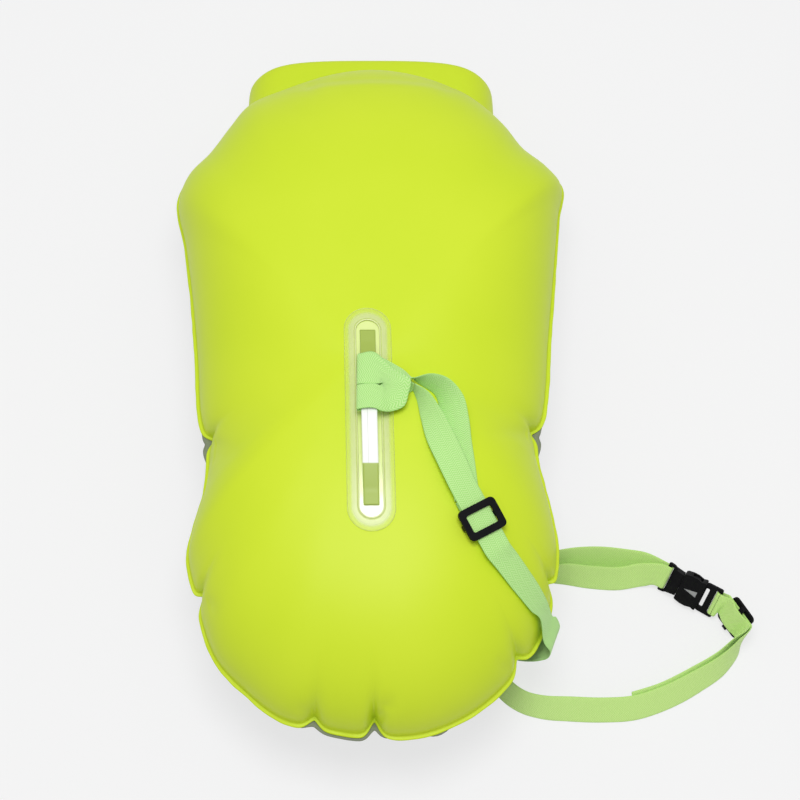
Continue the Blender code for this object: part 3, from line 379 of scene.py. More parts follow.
clearLook = {
    "patch": (0.76, 0.83, 0.4),
    "patchRoughness": 0.3,
    "window": (0.7, 0.81, 0.3),
    # the near-white colour of the painted glint at the window's foot
    "windowFootGlint": (0.86, 0.9, 0.74),
    "windowRoughness": 0.16,
    # where the painted glint at the window's foot starts, and how fast it comes
    "glintFrom": 0.128,
    "glintFade": -70.0,
    "shader": {"Specular IOR Level": 0.6, "Coat Weight": 0.25, "Coat Roughness": 0.16},
    "paler": 1.12,
    "tintSize": 60.0,
    "waveSize": 220.0,
    "bump": (0.2, 0.0004),
    # share of the way out from the slot, and how much the patch hides there; the pale lines this gives by
    # the slot and at the outer edge are painted highlights on the beads
    "patchStops": (
        (0.0, 0.7), (1.0, 0.22), (0.06, 0.85), (0.13, 0.45), (0.17, 0.2), (0.22, 0.52), (0.5, 0.44),
        (0.72, 0.12), (0.9, 0.08), (0.95, 0.12), (0.975, 0.3),
    ),
}


def clearMaterial(kind):
    settings = {"Roughness": clearLook[kind + "Roughness"], **clearLook["shader"]}
    material, tree, shader = newMaterial(kind + "Film", settings)
    color = clearLook[kind]
    place = objectPlace(tree)
    paler = tuple(min(1.0, c * clearLook["paler"]) for c in color)
    tint = mixColor(tree, noiseNode(tree, place, clearLook["tintSize"]), color, paler)
    tree.links.new(tint, shader.inputs["Base Color"])
    bumpFrom(tree, shader, noiseNode(tree, place, clearLook["waveSize"]), *clearLook["bump"])
    return material, tree, shader, place, tint


def ramp(tree, value, stops):
    node = tree.nodes.new("ShaderNodeValToRGB")
    tree.links.new(value, node.inputs["Fac"])
    stripes = node.color_ramp.elements
    for k, (place, shade) in enumerate(stops):
        stripe = stripes[k] if k < 2 else stripes.new(place)
        stripe.position = place
        stripe.color = (shade, shade, shade, 1.0)
    return node.outputs["Color"]


def patchMaterial():
    # Clear where the patch is welded near its edge, milky over the rest, with pale lines at both edges that
    # are painted highlights on its beads
    material, tree, shader, _, _ = clearMaterial("patch")
    tree.links.new(ramp(tree, uvPlaces(tree)[1], clearLook["patchStops"]), shader.inputs["Alpha"])
    return material


def windowMaterial():
    # The clear window under the strip, paler towards its foot where a painted glint lies
    material, tree, shader, place, tint = clearMaterial("window")
    split = tree.nodes.new("ShaderNodeSeparateXYZ")
    tree.links.new(place, split.inputs[0])
    past = mathNode(tree, "ADD", split.outputs["Y"], clearLook["glintFrom"])
    foot = mathNode(tree, "MULTIPLY", past, clearLook["glintFade"], clamp=True)
    tree.links.new(mixColor(tree, foot, tint, clearLook["windowFootGlint"]), shader.inputs["Base Color"])
    return material


patchFilm = patchMaterial()
windowFilm = windowMaterial()

# Webbing

webbing = {
    "width": 0.025,
    "thickness": 0.0011,
    "gap": 0.0003,
    "step": 0.0016,
    # light and dark colour, pitch and depth of the ribs; the light colour on the ribs' crests is painted
    # highlight and the dark colour in their grooves painted shade
    "leash": ((0.610, 0.880, 0.370), (0.290, 0.690, 0.130), 0.0019, 0.00045),
    # the belt's colours are made lighter as painted light, to make up for the weaker lamp light on the belt
    "belt": ((0.730, 0.930, 0.370), (0.400, 0.760, 0.125), 0.0015, 0.00030),
    "shader": {"Roughness": 0.72, "Specular IOR Level": 0.35, "Sheen Weight": 0.25, "Sheen Roughness": 0.5},
    "fuzzSize": 900.0,
    "fuzzShare": 0.25,
    "edgeShare": 0.35,
    "bump": 0.6,
    "pointsAcross": 12,
    "edgePower": 14,
}


def webbingMaterial(kind):
    light, dark, pitch, depth = webbing[kind]
    material, tree, shader = newMaterial(kind + "Webbing", webbing["shader"])
    weave = placeGroup(tree, webbingWeave)
    weave.inputs["Rib Pitch"].default_value = pitch
    # Painted highlight and painted shade: the ribs' crests take the light colour and their grooves the dark
    # one
    color = mixColor(tree, weave.outputs["Height"], dark, light)
    fuzz = noiseNode(tree, objectPlace(tree), webbing["fuzzSize"])
    color = mixColor(tree, mathNode(tree, "MULTIPLY", fuzz, webbing["fuzzShare"]), color, light)
    edge = mathNode(tree, "MULTIPLY", weave.outputs["Edge"], webbing["edgeShare"])
    tree.links.new(mixColor(tree, edge, color, dark), shader.inputs["Base Color"])
    bumpFrom(tree, shader, weave.outputs["Height"], webbing["bump"], depth)
    return material


leashWebbing = webbingMaterial("leash")
beltWebbing = webbingMaterial("belt")


def stripRings(rows, width, thickness, closed):
    # Rings of points round flat webbing whose rows hold its middle and its width as a vector
    rows = smoothRows(rows, webbing["step"], closed=closed)
    spans, power = webbing["pointsAcross"], webbing["edgePower"]
    across = [-cos(pi * k / spans) for k in range(spans + 1)]
    around = [(t, 1.0) for t in across] + [(t, -1.0) for t in reversed(across[1:-1])]
    rings, places, run = [], [], 0.0
    for k, row in enumerate(rows):
        middle, side = Vector(row[:3]), Vector(row[3:])
        before, after = (Vector(rowNear(rows, k + step, closed)[:3]) for step in (-1, 1))
        normal = side.cross(after - before).normalized()
        if k:
            run += (middle - before).length
        places.append(run)
        rings.append([
            middle + side * (width / 2 * t)
            + normal * (face * thickness / 2 * sqrt(max(0.0, 1 - t**power)))
            for t, face in around
        ])
    return rings, places, [t * width / 2 for t, _ in around], [row[:3] for row in rows]


def makeWebbing(
    name, rows, material, body, *nodes, closed=False, width=webbing["width"], thickness=webbing["thickness"]
):
    rings, places, us, path = stripRings(rows, width, thickness, closed)
    return addPiece(name, ringMesh(name, rings, places, us, closed), material, body, *nodes), path


# Form of the bag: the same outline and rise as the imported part

bag = {
    "halfWidth": 0.1862,
    "mouthReach": 0.353,
    "footReach": 0.3180,
    "seamHeight": 0.092,
    "rise": 0.098,
    "rimRise": 0.0015,
    "film": 0.0008,
    "gap": 0.0003,
    "rimWidth": 0.0040,
    "mouthRim": 0.0014,
    "mouthHalfWidth": 0.120,
    "tuckDepth": 0.012,
    "tuckWidth": 0.010,
    "sidePower": 2.15,
    "mouthPower": 5.0,
    "footPower": 3.5,
    "edgePower": 0.52,
    "linerSag": 0.026,
    "linerRings": 24,
    "tuckTightness": 0.75,
    "tuckPower": 18,
    "meridians": 560,
    "meridianCrowding": 2.6,
    "rings": 84,
    # steps out along the welded rim
    "panelRim": (0.35, 0.7, 1.0),
    "linerRim": (0.35, 0.7, 0.97),
    "rimThinning": 0.0006,
}
leftOutline = (
    (-0.23, 0.9825), (-0.46, 0.93), (-0.675, 0.868), (-0.756, 0.806), (-0.86, 0.72),
    (-0.962, 0.655), (-1.000, 0.6), (-0.953, 0.443), (-0.911, 0.3), (-0.868, 0.114),
    (-0.838, -0.06), (-0.79, -0.186), (-0.8, -0.29), (-0.842, -0.388), (-0.868, -0.488),
    (-0.837, -0.575), (-0.795, -0.668), (-0.716, -0.786), (-0.579, -0.873), (-0.395, -0.953),
    (-0.211, -0.978), (0.0, -0.996),
)
rightOutline = (
    (0.24, -0.994), (0.474, -0.938), (0.663, -0.842), (0.774, -0.755), (0.842, -0.668),
    (0.884, -0.565), (0.9, -0.466), (0.879, -0.366), (0.84, -0.262), (0.81, -0.162),
    (0.855, -0.05), (0.895, 0.171), (0.932, 0.357), (0.968, 0.543), (0.989, 0.634),
    (0.928, 0.678), (0.802, 0.738), (0.712, 0.808), (0.612, 0.866), (0.46, 0.93),
    (0.23, 0.9825), (0.0, 1.0),
)
tuckShares = (
    (-0.815, -0.14, 0.8, 0.8), (-0.815, -0.62, 0.9, 0.7), (-0.255, -0.972, 0.8, 0.9),
    (0.03, -0.996, 1.3, 0.8), (0.72, -0.808, 0.9, 0.9), (0.876, -0.58, 0.8, 0.7),
    (0.834, -0.118, 0.7, 0.8),
)


def reachAlong(share):
    return share * (bag["mouthReach"] if share > 0 else bag["footReach"])


def polar(point):
    return atan2(point[1], point[0]) % tau, hypot(point[0], point[1])


def outlineOfBag():
    rows = [(x * bag["halfWidth"], reachAlong(y)) for x, y in leftOutline + rightOutline]
    return sorted(polar(point) for point in smoothRows(rows, 0.003, 2, closed=True))


outlinePolar = outlineOfBag()
outlineAngles = [angle for angle, _ in outlinePolar]
outlineRadii = [radius for _, radius in outlinePolar]
tucks = []
for across, along, depth, width in tuckShares:
    tuckAngle, tuckRadius = polar((across * bag["halfWidth"], reachAlong(along)))
    tucks.append((tuckAngle, depth * bag["tuckDepth"], width * bag["tuckWidth"] / tuckRadius))


def radiusAt(angle):
    angle %= tau
    place = bisect.bisect_right(outlineAngles, angle)
    before, after = place - 1, place % len(outlineAngles)
    span = (outlineAngles[after] - outlineAngles[before]) % tau
    share = ((angle - outlineAngles[before]) % tau) / span
    return outlineRadii[before] + (outlineRadii[after] - outlineRadii[before]) * share


def drawnIn(angle, shares=None, tightness=bag["tuckTightness"], power=1.5):
    # How far the tucks draw the seam in; shares say how far the rim's edge follows each of them
    drawn = 0.0
    for k, (center, depth, width) in enumerate(tucks):
        away = abs((angle - center + pi) % tau - pi)
        drawn += depth * (shares[k] if shares else 1.0) * exp(-((away / (width * tightness)) ** power))
    return drawn


def riseShare(angle, share):
    endPower = bag["mouthPower"] if sin(angle) > 0 else bag["footPower"]
    power = bag["sidePower"] + (endPower - bag["sidePower"]) * sin(angle) ** 2
    return max(0.0, 1.0 - share**power) ** bag["edgePower"]


def panelRise(angle, share):
    return bag["rimRise"] + (bag["rise"] - bag["rimRise"]) * riseShare(angle, share)


def riseOver(x, y):
    angle, distance = polar((x, y))
    return panelRise(angle, min(distance / radiusAt(angle), 1.0))


def bagHeight(x, y):
    return bag["seamHeight"] + riseOver(x, y)


def underHeight(x, y):
    return max(0.0, bag["seamHeight"] - riseOver(x, y))


def surfaceNormal(height, x, y):
    step = bag["film"]
    slopeX = (height(x + step, y) - height(x - step, y)) / (2 * step)
    slopeY = (height(x, y + step) - height(x, y - step)) / (2 * step)
    return Vector((-slopeX, -slopeY, 1.0)).normalized()


def seatOnBag(x, y, lift):
    normal = surfaceNormal(bagHeight, x, y)
    return Vector((x, y, bagHeight(x, y))) + normal * lift, normal


# Straps on the bag: the leash, its hitch and its slider

slider = {
    "length": 0.0285,
    "width": 0.0375,
    "bar": 0.0050,
    "frame": 0.0022,
    "crossbar": 0.0016,
    "travel": 0.012,
}
leash = {
    "hitch": (
        (0.0392, -0.0335, 0.006, 0.05, 0.1, 0.42), (0.0325, -0.0325, 0.0038, 0.02, 0.52, 0.2),
        (0.023, -0.0375, 0.0032, 0.00, 0.8, 0.06), (0.0145, -0.044, 0.0048, 0.00, 0.92, -0.02),
        (0.007, -0.0465, 0.0092, 0.00, 0.97, -0.07), (-0.0074, -0.0465, 0.0094, 0.00, 0.97, -0.07),
        (-0.0091, -0.0465, 0.0102, 0.00, 0.97, -0.07), (-0.0098, -0.0465, 0.0119, 0.00, 0.97, -0.07),
        (-0.0091, -0.0465, 0.0136, 0.00, 0.97, -0.07), (-0.0074, -0.0465, 0.0144, 0.00, 0.97, -0.07),
        (0.007, -0.0465, 0.0148, 0.00, 0.97, -0.05), (0.0105, -0.048, 0.0144, -0.06, 0.95, 0.08),
        (0.0165, -0.0465, 0.0122, -0.38, 0.9, 0.34), (0.0215, -0.0443, 0.012, -0.76, 0.72, 0.28),
        (0.0237, -0.038, 0.013, -0.92, 0.25, 0.2), (0.0245, -0.0322, 0.0148, -1.00, -0.18, 0.06),
        (0.0202, -0.0288, 0.0142, -0.7, -0.44, 0.1), (0.0154, -0.0253, 0.0126, -0.4, -0.73, 0.2),
        (0.011, -0.0207, 0.0112, -0.1, -1.1, 0.24),
        (0.007, -0.018, 0.0106, 0.00, -1.3, 0.25), (-0.0074, -0.018, 0.0104, 0.00, -1.3, 0.25),
        (-0.0091, -0.018, 0.0096, 0.00, -1.3, 0.25), (-0.0098, -0.018, 0.008, 0.00, -1.3, 0.25),
        (-0.0091, -0.018, 0.0064, 0.00, -1.3, 0.25), (-0.0074, -0.018, 0.0056, 0.00, -1.3, 0.25),
        (0.007, -0.0176, 0.0056, 0.00, -1.26, 0.24), (0.0145, -0.0185, 0.0061, 0.00, -1.00, 0.16),
        (0.023, -0.0205, 0.007, 0.00, -0.72, 0.14), (0.032, -0.023, 0.008, 0.02, -0.44, 0.24),
        (0.0395, -0.0258, 0.0076, 0.05, -0.1, 0.42),
    ),
    "front": (
        (0.0448, -0.0405, 64, 0.62, 0.0), (0.052, -0.0575, 44, 0.84, 0.0015),
        (0.0595, -0.0765, 24, 0.96, 0.003), (0.0705, -0.101, 6, 1.0, 0.0058),
    ),
    "back": (
        (0.049, -0.0282, 76, 0.72, 0.0), (0.06, -0.034, 70, 0.92, 0.0),
        (0.069, -0.047, 48, 1.0, 0.0), (0.074, -0.064, 22, 1.0, 0.0), (0.077, -0.081, 6, 1.0, 0.0),
        (0.08, -0.098, 0, 1.0, 0.0),
    ),
    "sliderPlace": (0.0957, -0.1511),
    "sliderHeading": -58.0,
    "lower": (
        (0.118, -0.1835, 0, 1.0, 0.003), (0.129, -0.1945, 0, 1.0, 0.0015),
        (0.139, -0.204, 0, 1.0, 0.0012), (0.146, -0.2115, 0, 1.0, 0.0022),
        (0.1512, -0.2172, 0, 1.0, 0.0042),
    ),
    "rim": (
        (0.159, -0.2255, 0.104, 0.48, 0.88, 0.0), (0.164, -0.231, 0.0925, 0.38, 0.92, 0.0),
        (0.1615, -0.233, 0.0805, 0.25, 0.96, -0.08), (0.1525, -0.233, 0.069, 0.1, 0.95, -0.26),
        (0.142, -0.2305, 0.054, 0.0, 0.9, -0.42), (0.135, -0.2245, 0.0405, 0.0, 0.96, -0.26),
    ),
    "sewnEnd": 0.02,
    "loopSlack": 0.0008,
}


def routeRows(route, nextPoint):
    # Middle and width of webbing along a route on the bag
    points = [Vector(row[:2]) for row in route] + [Vector(nextPoint[:2])]
    rows = []
    for k, (x, y, turn, share, lift) in enumerate(route):
        run = points[k + 1] - points[max(k - 1, 0)]
        normal = surfaceNormal(bagHeight, x, y)
        ahead = Vector((run.x, run.y, 0.0))
        ahead = (ahead - normal * ahead.dot(normal)).normalized()
        left = normal.cross(ahead)
        angle = radians(turn)
        height = webbing["gap"] + abs(sin(angle)) * webbing["width"] * share / 2
        height += abs(cos(angle)) * webbing["thickness"] / 2 + lift
        width = (left * cos(angle) + normal * sin(angle)) * share
        rows.append((*seatOnBag(x, y, height)[0], *width))
    return rows


def rowPast(last, before):
    ahead = (Vector(last[:3]) - Vector(before[:3])).normalized()
    return (*(Vector(last[:3]) + ahead * 2 * webbing["gap"]), *last[3:])


def localRows(matrix, points):
    return [(*placeIn(matrix, x, 0.0, z), *matrix.col[1].xyz) for x, z in points]


def leashSliderMatrix():
    under = 4 * webbing["gap"] + 2 * webbing["thickness"] + slider["crossbar"]
    origin, normal = seatOnBag(*leash["sliderPlace"], under + webbing["thickness"] / 2)
    return frameMatrix(origin, headingVector(leash["sliderHeading"]), normal)


def leanRows(route, before, after):
    # Middle and width of webbing that stands on its edge on the table
    points = [Vector(before[:2])] + [Vector(row[:2]) for row in route] + [Vector(after[:2])]
    rows = []
    for k, (x, y, lean, lift) in enumerate(route):
        ahead = (points[k + 2] - points[k]).normalized()
        left = Vector((-ahead.y, ahead.x, 0.0))
        angle = radians(lean)
        up = cos(angle)
        width = left * sin(angle) + Vector((0.0, 0.0, up))
        height = webbing["width"] / 2 * up + webbing["thickness"] / 2 * abs(sin(angle))
        rows.append((x, y, height + webbing["gap"] + lift, *width))
    return rows


belt = {
    "upper": (
        (0.256, -0.144, -42, 0.003), (0.232, -0.147, -42, 0.0004), (0.205, -0.1455, -40, 0.0),
        (0.178, -0.143, -30, 0.0), (0.156, -0.148, 0, 0.0), (0.1385, -0.161, 26, 0.0),
        (0.123, -0.179, 36, 0.0), (0.115, -0.198, 34, 0.002), (0.1147, -0.205, 34, 0.0026),
    ),
    "loopPlace": (0.115, -0.22, 34, 0.0028),
    "lower": (
        (0.116, -0.235, 34, 0.0028), (0.12, -0.2485, 37, 0.0014), (0.13, -0.2595, 38, 0.0008),
        (0.142, -0.2662, 40, 0.0), (0.157, -0.27, 44, 0.0), (0.182, -0.2715, 50, 0.0),
        (0.212, -0.2725, 50, 0.0), (0.241, -0.2705, 50, 0.0), (0.268, -0.262, 48, 0.0),
        (0.3, -0.246, 42, 0.0), (0.326, -0.229, 30, 0.0), (0.34, -0.213, 12, 0.001),
    ),
    "plugTail": (
        (0.255, -0.133, -42, 0.003), (0.238, -0.129, -42, 0.0), (0.215, -0.1265, -40, 0.0),
        (0.19, -0.1275, -38, 0.0), (0.169, -0.131, -34, 0.0),
    ),
    "tailOffsets": (0.004, 0.0042, 0.004, 0.0036, 0.0034),
    "bucklePlace": (0.2985, -0.1595),
    "buckleHeading": -30.3,
    "buckleLean": 40.0,
    "sliderReach": 0.022,
    "sliderTravel": 0.003,
    "sliderBearing": -44.0,
    "sliderHeading": -58.0,
    "sliderLean": 30.0,
    # where the belt's webbing starts to follow the plug as it is pulled out
    "giveFrom": (0.205, -0.1455, 0.012),
}
buckle = {
    "width": 0.032,
    "thickness": 0.0090,
    # the bars that the webbing folds round: place from the middle, width and thickness
    "barPlace": 0.0263,
    "endBar": 0.0034,
    "barThickness": 0.0026,
}


def beltLoopMatrix():
    row = leanRows((belt["loopPlace"],), belt["upper"][-1], belt["lower"][0])[0]
    ahead = Vector(belt["lower"][0][:2]) - Vector(belt["upper"][-1][:2])
    xAxis = Vector((ahead.x, ahead.y, 0.0))
    return frameMatrix(Vector(row[:3]), xAxis, xAxis.cross(Vector(row[3:])))


def standingMatrix(x, y, heading, lean, width, thickness):
    xAxis = headingVector(heading)
    behind = Vector((-xAxis.y, xAxis.x, 0.0))
    angle = radians(lean)
    yAxis = behind * sin(angle) + Vector((0.0, 0.0, cos(angle)))
    height = width / 2 * cos(angle) + thickness / 2 * sin(angle) + webbing["gap"]
    return frameMatrix(Vector((x, y, height)), xAxis, xAxis.cross(yAxis))


def beltBuckleMatrix():
    turns = belt["buckleHeading"], belt["buckleLean"]
    return standingMatrix(*belt["bucklePlace"], *turns, buckle["width"], buckle["thickness"])


def beltSliderMatrix():
    start = placeIn(beltBuckleMatrix(), buckle["barPlace"])
    place = start + headingVector(belt["sliderBearing"]) * belt["sliderReach"]
    depth = webbing["thickness"] + 2 * webbing["gap"] + 2 * slider["frame"]
    turns = belt["sliderHeading"], belt["sliderLean"]
    return standingMatrix(place.x, place.y, *turns, slider["width"], depth)


def foldRadii():
    corner = sqrt(2) / 2
    clear = webbing["gap"] + webbing["thickness"] / 2
    return buckle["endBar"] * corner + clear, buckle["barThickness"] * corner + clear


def foldRoundBar(side, front):
    bar = buckle["barPlace"]
    inward, outward = foldRadii()
    found = [(side * (bar + buckle["endBar"]), front * outward)]
    for k in range(7):
        turn = pi * k / 6
        found.append((side * (bar - inward * sin(turn)), front * outward * cos(turn)))
    return found


def leashLoopRows():
    matrix = beltLoopMatrix()
    offset = -(2 * webbing["thickness"] + leash["loopSlack"] + webbing["gap"])
    ups = (webbing["width"] * share for share in (0.9, 0.5, 0.05))
    return [(*placeIn(matrix, 0.0, up, offset), *(-matrix.col[0].xyz)) for up in ups]


def makeLeash():
    matrix = leashSliderMatrix()
    gap, thickness, bar = webbing["gap"], webbing["thickness"], slider["bar"]
    straight = slider["length"] / 2 + slider["travel"] + gap
    stub = straight - 2 * thickness
    hitch = [(x, y, bagHeight(x, y) + height, *width) for x, y, height, *width in leash["hitch"]]
    knot, _ = makeWebbing("leashHitch", hitch, leashWebbing, "bag", "leash_hitch")
    front = [rowPast(hitch[0], hitch[1])]
    front += routeRows(leash["front"], placeIn(matrix, -straight))
    front += localRows(matrix, [(place, 0.0) for place in (-straight, -stub, stub, straight)])
    front += routeRows(leash["lower"], leash["rim"][0]) + list(leash["rim"]) + leashLoopRows()
    run, path = makeWebbing("leashRun", front, leashWebbing, "bag", "leash_front_layer")
    layer = thickness + gap
    legs = slider["crossbar"] + 2 * gap + thickness
    barHeight = -thickness / 2 - gap - layer - slider["crossbar"] / 2
    close = layer / 2
    tail = bar / 2 + leash["sewnEnd"]
    back = [rowPast(hitch[-1], hitch[-2])] + routeRows(leash["back"], placeIn(matrix, -tail))
    back += localRows(matrix, ((-tail - 2 * gap - thickness, barHeight - close),))
    under, _ = makeWebbing("leashUnderLayer", back, leashWebbing, None, "leash_back_layer")
    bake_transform(under)
    leg = [(-tail, close), (-tail * 0.6, close), (-bar * 1.3, close * 1.6), (-bar / 2, legs / 2)]
    turns = (pi * k / 4 for k in range(5))
    around = [(bar / 2 + sin(turn) * legs / 2, cos(turn) * legs / 2) for turn in turns]
    loop = leg + around + [(x, -z) for x, z in reversed(leg)]
    sewn = localRows(matrix, [(x, z + barHeight) for x, z in loop])
    end, _ = makeWebbing("leashSewnEnd", sewn, leashWebbing, "leash_slider_body", "leash_sewn_end")
    ring = makeBeltLoop()


def makeBeltLoop():
    matrix = beltLoopMatrix()
    radius = webbing["thickness"] + leash["loopSlack"]
    straight = webbing["width"] / 2 - webbing["thickness"] / 2
    places = []
    for side in (1, -1):
        for k in range(5):
            turn = pi * k / 4
            places.append((side * (straight + radius * sin(turn)), side * radius * cos(turn)))
        places.append((0.0, -side * radius))
    rows = [(*placeIn(matrix, 0.0, up, out), *matrix.col[0].xyz) for up, out in places]
    return makeWebbing("leashBeltLoop", rows, leashWebbing, "bag", "leash_belt_loop", closed=True)[0]


def rowsInside(rows, after, offsets):
    points = [Vector(row[:3]) for row in rows] + [Vector(after[:3])]
    found = []
    for step, offset in enumerate(offsets):
        k = len(rows) - 1 - step
        ahead = points[k + 1] - points[k - 1]
        left = Vector((-ahead.y, ahead.x, 0.0)).normalized()
        found.append((*(points[k] + left * offset), *rows[k][3:]))
    return found


def makeBelt():
    buckleFrame, sliderFrame = beltBuckleMatrix(), beltSliderMatrix()
    gap, thickness, bar = webbing["gap"], webbing["thickness"], slider["bar"]
    plugFold = localRows(buckleFrame, foldRoundBar(-1, 1))
    half = slider["length"] / 2 + gap
    stub = half + thickness
    ends = (stub, half, 0.0, -half, -half - belt["sliderTravel"])
    outer = localRows(sliderFrame, [(place, 0.0) for place in ends])
    lower = leanRows(belt["lower"], belt["loopPlace"], outer[0])
    rows = list(reversed(plugFold)) + leanRows(belt["upper"], plugFold[0], belt["loopPlace"])
    rows += leanRows((belt["loopPlace"],), belt["upper"][-1], belt["lower"][0]) + lower + outer
    rows += localRows(buckleFrame, foldRoundBar(1, -1))
    run, path = makeWebbing("beltRun", rows, beltWebbing, None, "belt_webbing")
    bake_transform(run)
    radius = foldRadii()[1]
    clear = buckle["barPlace"] + gap
    tail = localRows(buckleFrame, ((-clear, -radius), (-clear - bar, -radius)))
    tail += leanRows(belt["plugTail"], tail[0], belt["plugTail"][-1])
    plugTail, _ = makeWebbing("beltPlugTail", tail, beltWebbing, None, "belt_plug_tail")
    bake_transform(plugTail)
    layer = thickness + gap
    over = thickness + 2 * gap + slider["crossbar"]
    tail = localRows(buckleFrame, ((clear, radius), (clear + buckle["endBar"], radius)))
    through = ((-half, layer), (-bar, over), (bar, over), (half, layer + gap), (stub, layer + thickness))
    tail += localRows(sliderFrame, through)
    tail += rowsInside(lower, outer[0], belt["tailOffsets"])
    socketTail, _ = makeWebbing("beltSocketTail", tail, beltWebbing, "bag", "belt_socket_tail")


makeLeash()
makeBelt()

# Bag panels

creases = {
    # short folds from the seam inwards: start, end, depth and width at the start
    "folds": (
        ((-0.145, -0.054), (-0.12, -0.074), 0.003, 0.004),
        ((-0.14, -0.07), (-0.108, -0.09), 0.0016, 0.006),
        ((0.149, -0.045), (0.11, -0.065), 0.0036, 0.005),
        ((-0.156, -0.198), (-0.133, -0.216), 0.0044, 0.0034),
        ((-0.046, -0.31), (-0.061, -0.3), 0.006, 0.0034),
        ((0.007, -0.315), (0.019, -0.298), 0.008, 0.0036),
        ((0.123, -0.265), (0.112, -0.2615), 0.004, 0.0034),
        ((-0.06, 0.308), (-0.062, 0.29), 0.0022, 0.008),
        ((0.073, 0.31), (0.072, 0.292), 0.0022, 0.008),
    ),
    # where the roll presses the top of the bag down: ends of the line and how far
    "ridge": ((-0.056, 0.301), (0.068, 0.303), 0.0045),
    # a fold's reach before its start and to where it has faded, in lengths of its line, and its widening
    "foldBefore": 0.3,
    "foldPast": 1.3,
    "foldFade": 1.3,
    "foldWidening": 0.6,
    # the press: its spread in lengths of the ridge, its share at the ridge and how far behind it is full
    "pressSpread": 0.62,
    "pressStart": 0.2,
    "pressReach": 0.012,
    "undersideShare": 0.4,
    "waveLength": 0.0125,
    "waveUp": 0.0007,
    "waveOut": 0.0006,
    # how the folds and the press die out towards the seam
    "seamFade": 6,
    "seamShare": 0.1,
    "pressFade": 60,
    # past this share of the way out a fold moves the film to the seam's plane and to the middle alike
    "leanFrom": 0.96,
}
# how far the underside follows the tucks of the upper side, in the order of tuckShares
undersideTuckShares = (0.10, 1.0, 0.45, 0.60, 1.0, 1.0, 0.10)
# where the underside shows past the upper side: place, half width and reach
undersideLips = (
    (-0.019, -0.312, 0.029, 0.0032), (0.059, -0.305, 0.01, 0.003), (-0.152, -0.05, 0.012, 0.0034),
    (0.156, -0.044, 0.012, 0.0034),
)


def dentAt(x, y):
    total, past = 0.0, creases["foldPast"]
    for (ax, ay), (bx, by), depth, width in creases["folds"]:
        dx, dy = bx - ax, by - ay
        run = ((x - ax) * dx + (y - ay) * dy) / (dx * dx + dy * dy)
        held = min(max(run, -creases["foldBefore"]), past)
        away = hypot(x - ax - dx * held, y - ay - dy * held)
        fade = 1.0 - min(max(run, 0.0), past) / past
        wide = width * (1.0 + creases["foldWidening"] * max(run, 0.0))
        total += depth * fade ** creases["foldFade"] * exp(-((away / wide) ** 2))
    return total


def pressAt(x, y):
    # The top slopes down behind the line where the film leaves the roll
    (ax, ay), (bx, by), depth = creases["ridge"]
    share = (x - ax) / (bx - ax)
    behind = y - ay - (by - ay) * share
    fade = exp(-((abs(share - 0.5) / creases["pressSpread"]) ** 6))
    return depth * fade * min(1.0, max(0.0, behind / creases["pressReach"] + creases["pressStart"]))


def meridianAngles():
    # Directions of the panels' columns of points, closer together at the tucks
    weights, crowding = [0.0], bag["meridianCrowding"]
    rows = outlinePolar + [(outlinePolar[0][0] + tau, outlinePolar[0][1])]
    for (a0, r0), (a1, r1) in zip(rows, rows[1:]):
        length = hypot(r1 - r0, (a1 - a0) * (r0 + r1) / 2)
        tucked = drawnIn((a0 + a1) / 2, tightness=1, power=2)
        weights.append(weights[-1] + length * (1.0 + crowding * tucked / bag["tuckDepth"]))
    found, count = [], bag["meridians"]
    for k in range(count):
        target = weights[-1] * k / count
        place = min(bisect.bisect_right(weights, target), len(rows) - 1)
        share = (target - weights[place - 1]) / (weights[place] - weights[place - 1])
        found.append(rows[place - 1][0] + (rows[place][0] - rows[place - 1][0]) * share)
    return found


sheetAngles = meridianAngles()


def rimAt(angle):
    x, y = radiusAt(angle) * cos(angle), radiusAt(angle) * sin(angle)
    return bag["mouthRim"] if y > 0 and abs(x) < bag["mouthHalfWidth"] else bag["rimWidth"]


def lipAt(x, y):
    return sum(
        reach * exp(-((hypot(x - middleX, y - middleY) / half) ** 4))
        for middleX, middleY, half, reach in undersideLips
    )


def pointAt(angle, radius, height):
    return Vector((radius * cos(angle), radius * sin(angle), height))


def rimPoint(angle, grow, side, rim=1.0, shares=None):
    # Point of the welded rim: grow runs from 0 at the seam to 1 at the edge; all the films share its waves
    seam = radiusAt(angle) - drawnIn(angle)
    edge = radiusAt(angle) - drawnIn(angle, shares) + rimAt(angle) * rim
    x, y = seam * cos(angle), seam * sin(angle)
    if shares:
        edge += lipAt(x, y)
    wave = noise.noise(Vector((x, y, 0.0)) / creases["waveLength"])
    sway = noise.noise(Vector((x, y, 7.0)) / creases["waveLength"])
    height = bag["seamHeight"] + side * (bag["rimRise"] - bag["rimThinning"] * grow)
    height += wave * creases["waveUp"] * grow
    return pointAt(angle, seam + (edge - seam + sway * creases["waveOut"]) * grow, height)


def sheetPoint(angle, share, height):
    radius = radiusAt(angle) * share - drawnIn(angle) * share ** bag["tuckPower"]
    return pointAt(angle, radius, max(0.0, height))


def outwardLevels(count):
    return [sin(pi / 2 * (k + 1) / count) for k in range(count)]


